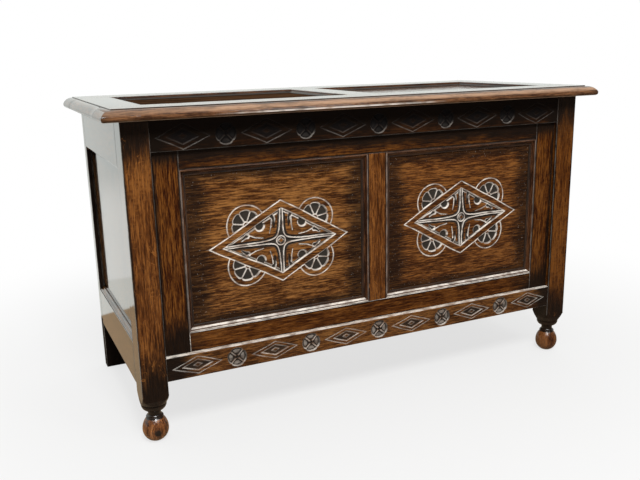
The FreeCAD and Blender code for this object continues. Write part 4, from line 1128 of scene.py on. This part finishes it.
for side in ("left", "right"):
    for part in ("hinge_leaf_carcase_", "hinge_leaf_lid_", "hinge_pin_"):
        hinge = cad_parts[part + side]
        hinge.data.materials.clear()
        hinge.data.materials.append(hinge_brass)
    for body, way, face_z in (("carcase", 1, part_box("back_top_rail")[1].z),
                              ("lid", -1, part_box("lid_rear_rail")[0].z)):
        low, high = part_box("hinge_leaf_%s_%s" % (body, side))
        bm = bmesh.new()
        for number in (-1, 0, 1):
            across = (low.x + high.x) / 2 + number * SCREW_SPACING
            add_screw(bm, Vector((across, low.y + SCREW_FROM_EDGE, face_z)), way)
        bmesh.ops.recalc_face_normals(bm, faces=bm.faces)
        screws = mesh_object(bm, "hinge_screws_%s_%s" % (body, side), [hinge_brass])
        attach(screws, body)


# --- Camera ----------------------------------------------------------------------------------------
# It stands in front and to the left of the chest, a little above the lid, and looks slightly down.

CAMERA_PLACE = Vector((-0.73077, -1.49639, 0.70938))
CAMERA_TURN = math.radians(24.91)
CAMERA_DIP = math.radians(14.13)
CAMERA_ROLL = math.radians(-1.26)
camera_data = bpy.data.cameras.new("camera")
camera_data.lens = 42.13
camera = bpy.data.objects.new("camera", camera_data)
bpy.context.scene.collection.objects.link(camera)
bpy.context.scene.camera = camera
camera.matrix_world = (Matrix.Translation(CAMERA_PLACE) @ Matrix.Rotation(-CAMERA_TURN, 4, "Z")
                       @ Matrix.Rotation(math.pi / 2 - CAMERA_DIP, 4, "X")
                       @ Matrix.Rotation(CAMERA_ROLL, 4, "Z"))


# --- Studio ------------------------------------------------------------------------------------------
# A pale floor in a white surround, lit by a large soft box high in front at the left and a weaker
# one high in front at the right. To glossy rays the floor shines with a painted reflection of a room: boards,
# then a wall.

def lamp(name, place, target, width, height, power):
    """A soft box that faces its target."""
    light = bpy.data.lights.new(name, "AREA")
    light.shape = "RECTANGLE"
    light.size = width
    light.size_y = height
    light.energy = power
    soft_box = bpy.data.objects.new(name, light)
    bpy.context.scene.collection.objects.link(soft_box)
    soft_box.visible_camera = False
    soft_box.location = place
    soft_box.rotation_euler = (Vector(target) - Vector(place)).to_track_quat("-Z", "Y").to_euler()


lamp("key", (-0.55, -1.95, 2.45), (0.0, -0.2, 0.35), 0.75, 0.75, 72.0)
lamp("fill", (1.0, -2.25, 2.6), (0.0, -0.2, 0.5), 0.8, 0.5, 12.0)

WHITE = (1.0, 1.0, 1.0)
FLOOR_COLOUR = (0.55, 0.55, 0.54)
# Colours of the painted reflection, which the floor shines with for glossy rays only.
FLOOR_IN_POLISH = (0.40, 0.29, 0.18)
DARK_FLOOR_IN_POLISH = (0.10, 0.075, 0.055)
FOOT_OF_WALL_IN_POLISH = (0.83, 0.85, 0.80)
WALL_IN_POLISH = (0.98, 1.00, 0.97)
HIGH_WALL_IN_POLISH = (0.78, 0.81, 0.78)
ROOM_IN_POLISH = (0.90, 0.95, 0.92)
WALL_FROM = (0.351, 0.371)
WALL_SLANT = 0.4
FLOOR_SHADE = (-0.6, 0.0)
FOOT_OF_WALL_TO = (0.90, 0.94)
HIGH_WALL_FROM = (2.0, 3.4)
WHITENED = (0.5, 1.4)


def painted_room_reflection(tree, place):
    """The painted reflection the floor shines with in the polish at a place: boards, darker in front, and a
    wall that starts behind the chest.
    """
    x, y, _ = split(tree, place)
    wall = blend(tree, ramp(tree, y, *FOOT_OF_WALL_TO), FOOT_OF_WALL_IN_POLISH, WALL_IN_POLISH)
    wall = blend(tree, ramp(tree, y, *HIGH_WALL_FROM), wall, HIGH_WALL_IN_POLISH)
    boards = blend(tree, ramp(tree, y, *FLOOR_SHADE), DARK_FLOOR_IN_POLISH, FLOOR_IN_POLISH)
    slanted = calc(tree, "MULTIPLY_ADD", calc(tree, "ABSOLUTE", x), -WALL_SLANT, y)
    return blend(tree, ramp(tree, slanted, *WALL_FROM), boards, wall)


def emitted(tree, colour):
    """A surface that shines with a colour."""
    return add_node(tree, "Emission", {"Color": colour, "Strength": 1.0}).outputs[0]


floor_material, tree, shader = new_material("pale_floor")
feed(tree, shader, {"Base Color": rgb(FLOOR_COLOUR), "Roughness": 0.8, "Specular IOR Level": 0.1})
place = add_node(tree, "TexCoord", {}).outputs["Object"]
paths = add_node(tree, "LightPath", {})
from_chest = add_node(tree, "VectorMath", {0: place}, operation="LENGTH").outputs["Value"]
white_share = ramp(tree, from_chest, *WHITENED, 0.72, 1.0)
white_share = calc(tree, "MULTIPLY", paths.outputs["Is Camera Ray"], white_share)
seen = add_node(tree, "MixShader", {0: white_share, 1: shader.outputs[0], 2: emitted(tree, rgb(WHITE))})
# Glossy rays see the floor glow with the painted room reflection.
seen = add_node(tree, "MixShader", {0: paths.outputs["Is Glossy Ray"], 1: seen.outputs[0],
                                    2: emitted(tree, painted_room_reflection(tree, place))})
feed(tree, tree.nodes["Material Output"], {"Surface": seen.outputs[0]})
bm = bmesh.new()
bmesh.ops.create_grid(bm, x_segments=1, y_segments=1, size=30.0)
mesh_object(bm, "floor", [floor_material])

world = bpy.data.worlds.new("surround")
bpy.context.scene.world = world
world.use_nodes = True
tree = world.node_tree
_, to_back, upward = split(tree, add_node(tree, "TexCoord", {}).outputs["Generated"])
behind = ramp(tree, to_back, -0.15, 0.25, 0.15, 1.0)
overhead = ramp(tree, upward, 0.55, 0.90, 0.15, 0.8)
paths = add_node(tree, "LightPath", {})
strength = calc(tree, "MAXIMUM", calc(tree, "MAXIMUM", behind, overhead), paths.outputs["Is Camera Ray"])
room = blend(tree, paths.outputs["Is Glossy Ray"], WHITE, ROOM_IN_POLISH)
feed(tree, tree.nodes["Background"], {"Strength": strength, "Color": room})

bpy.context.scene.view_settings.view_transform = "Standard"
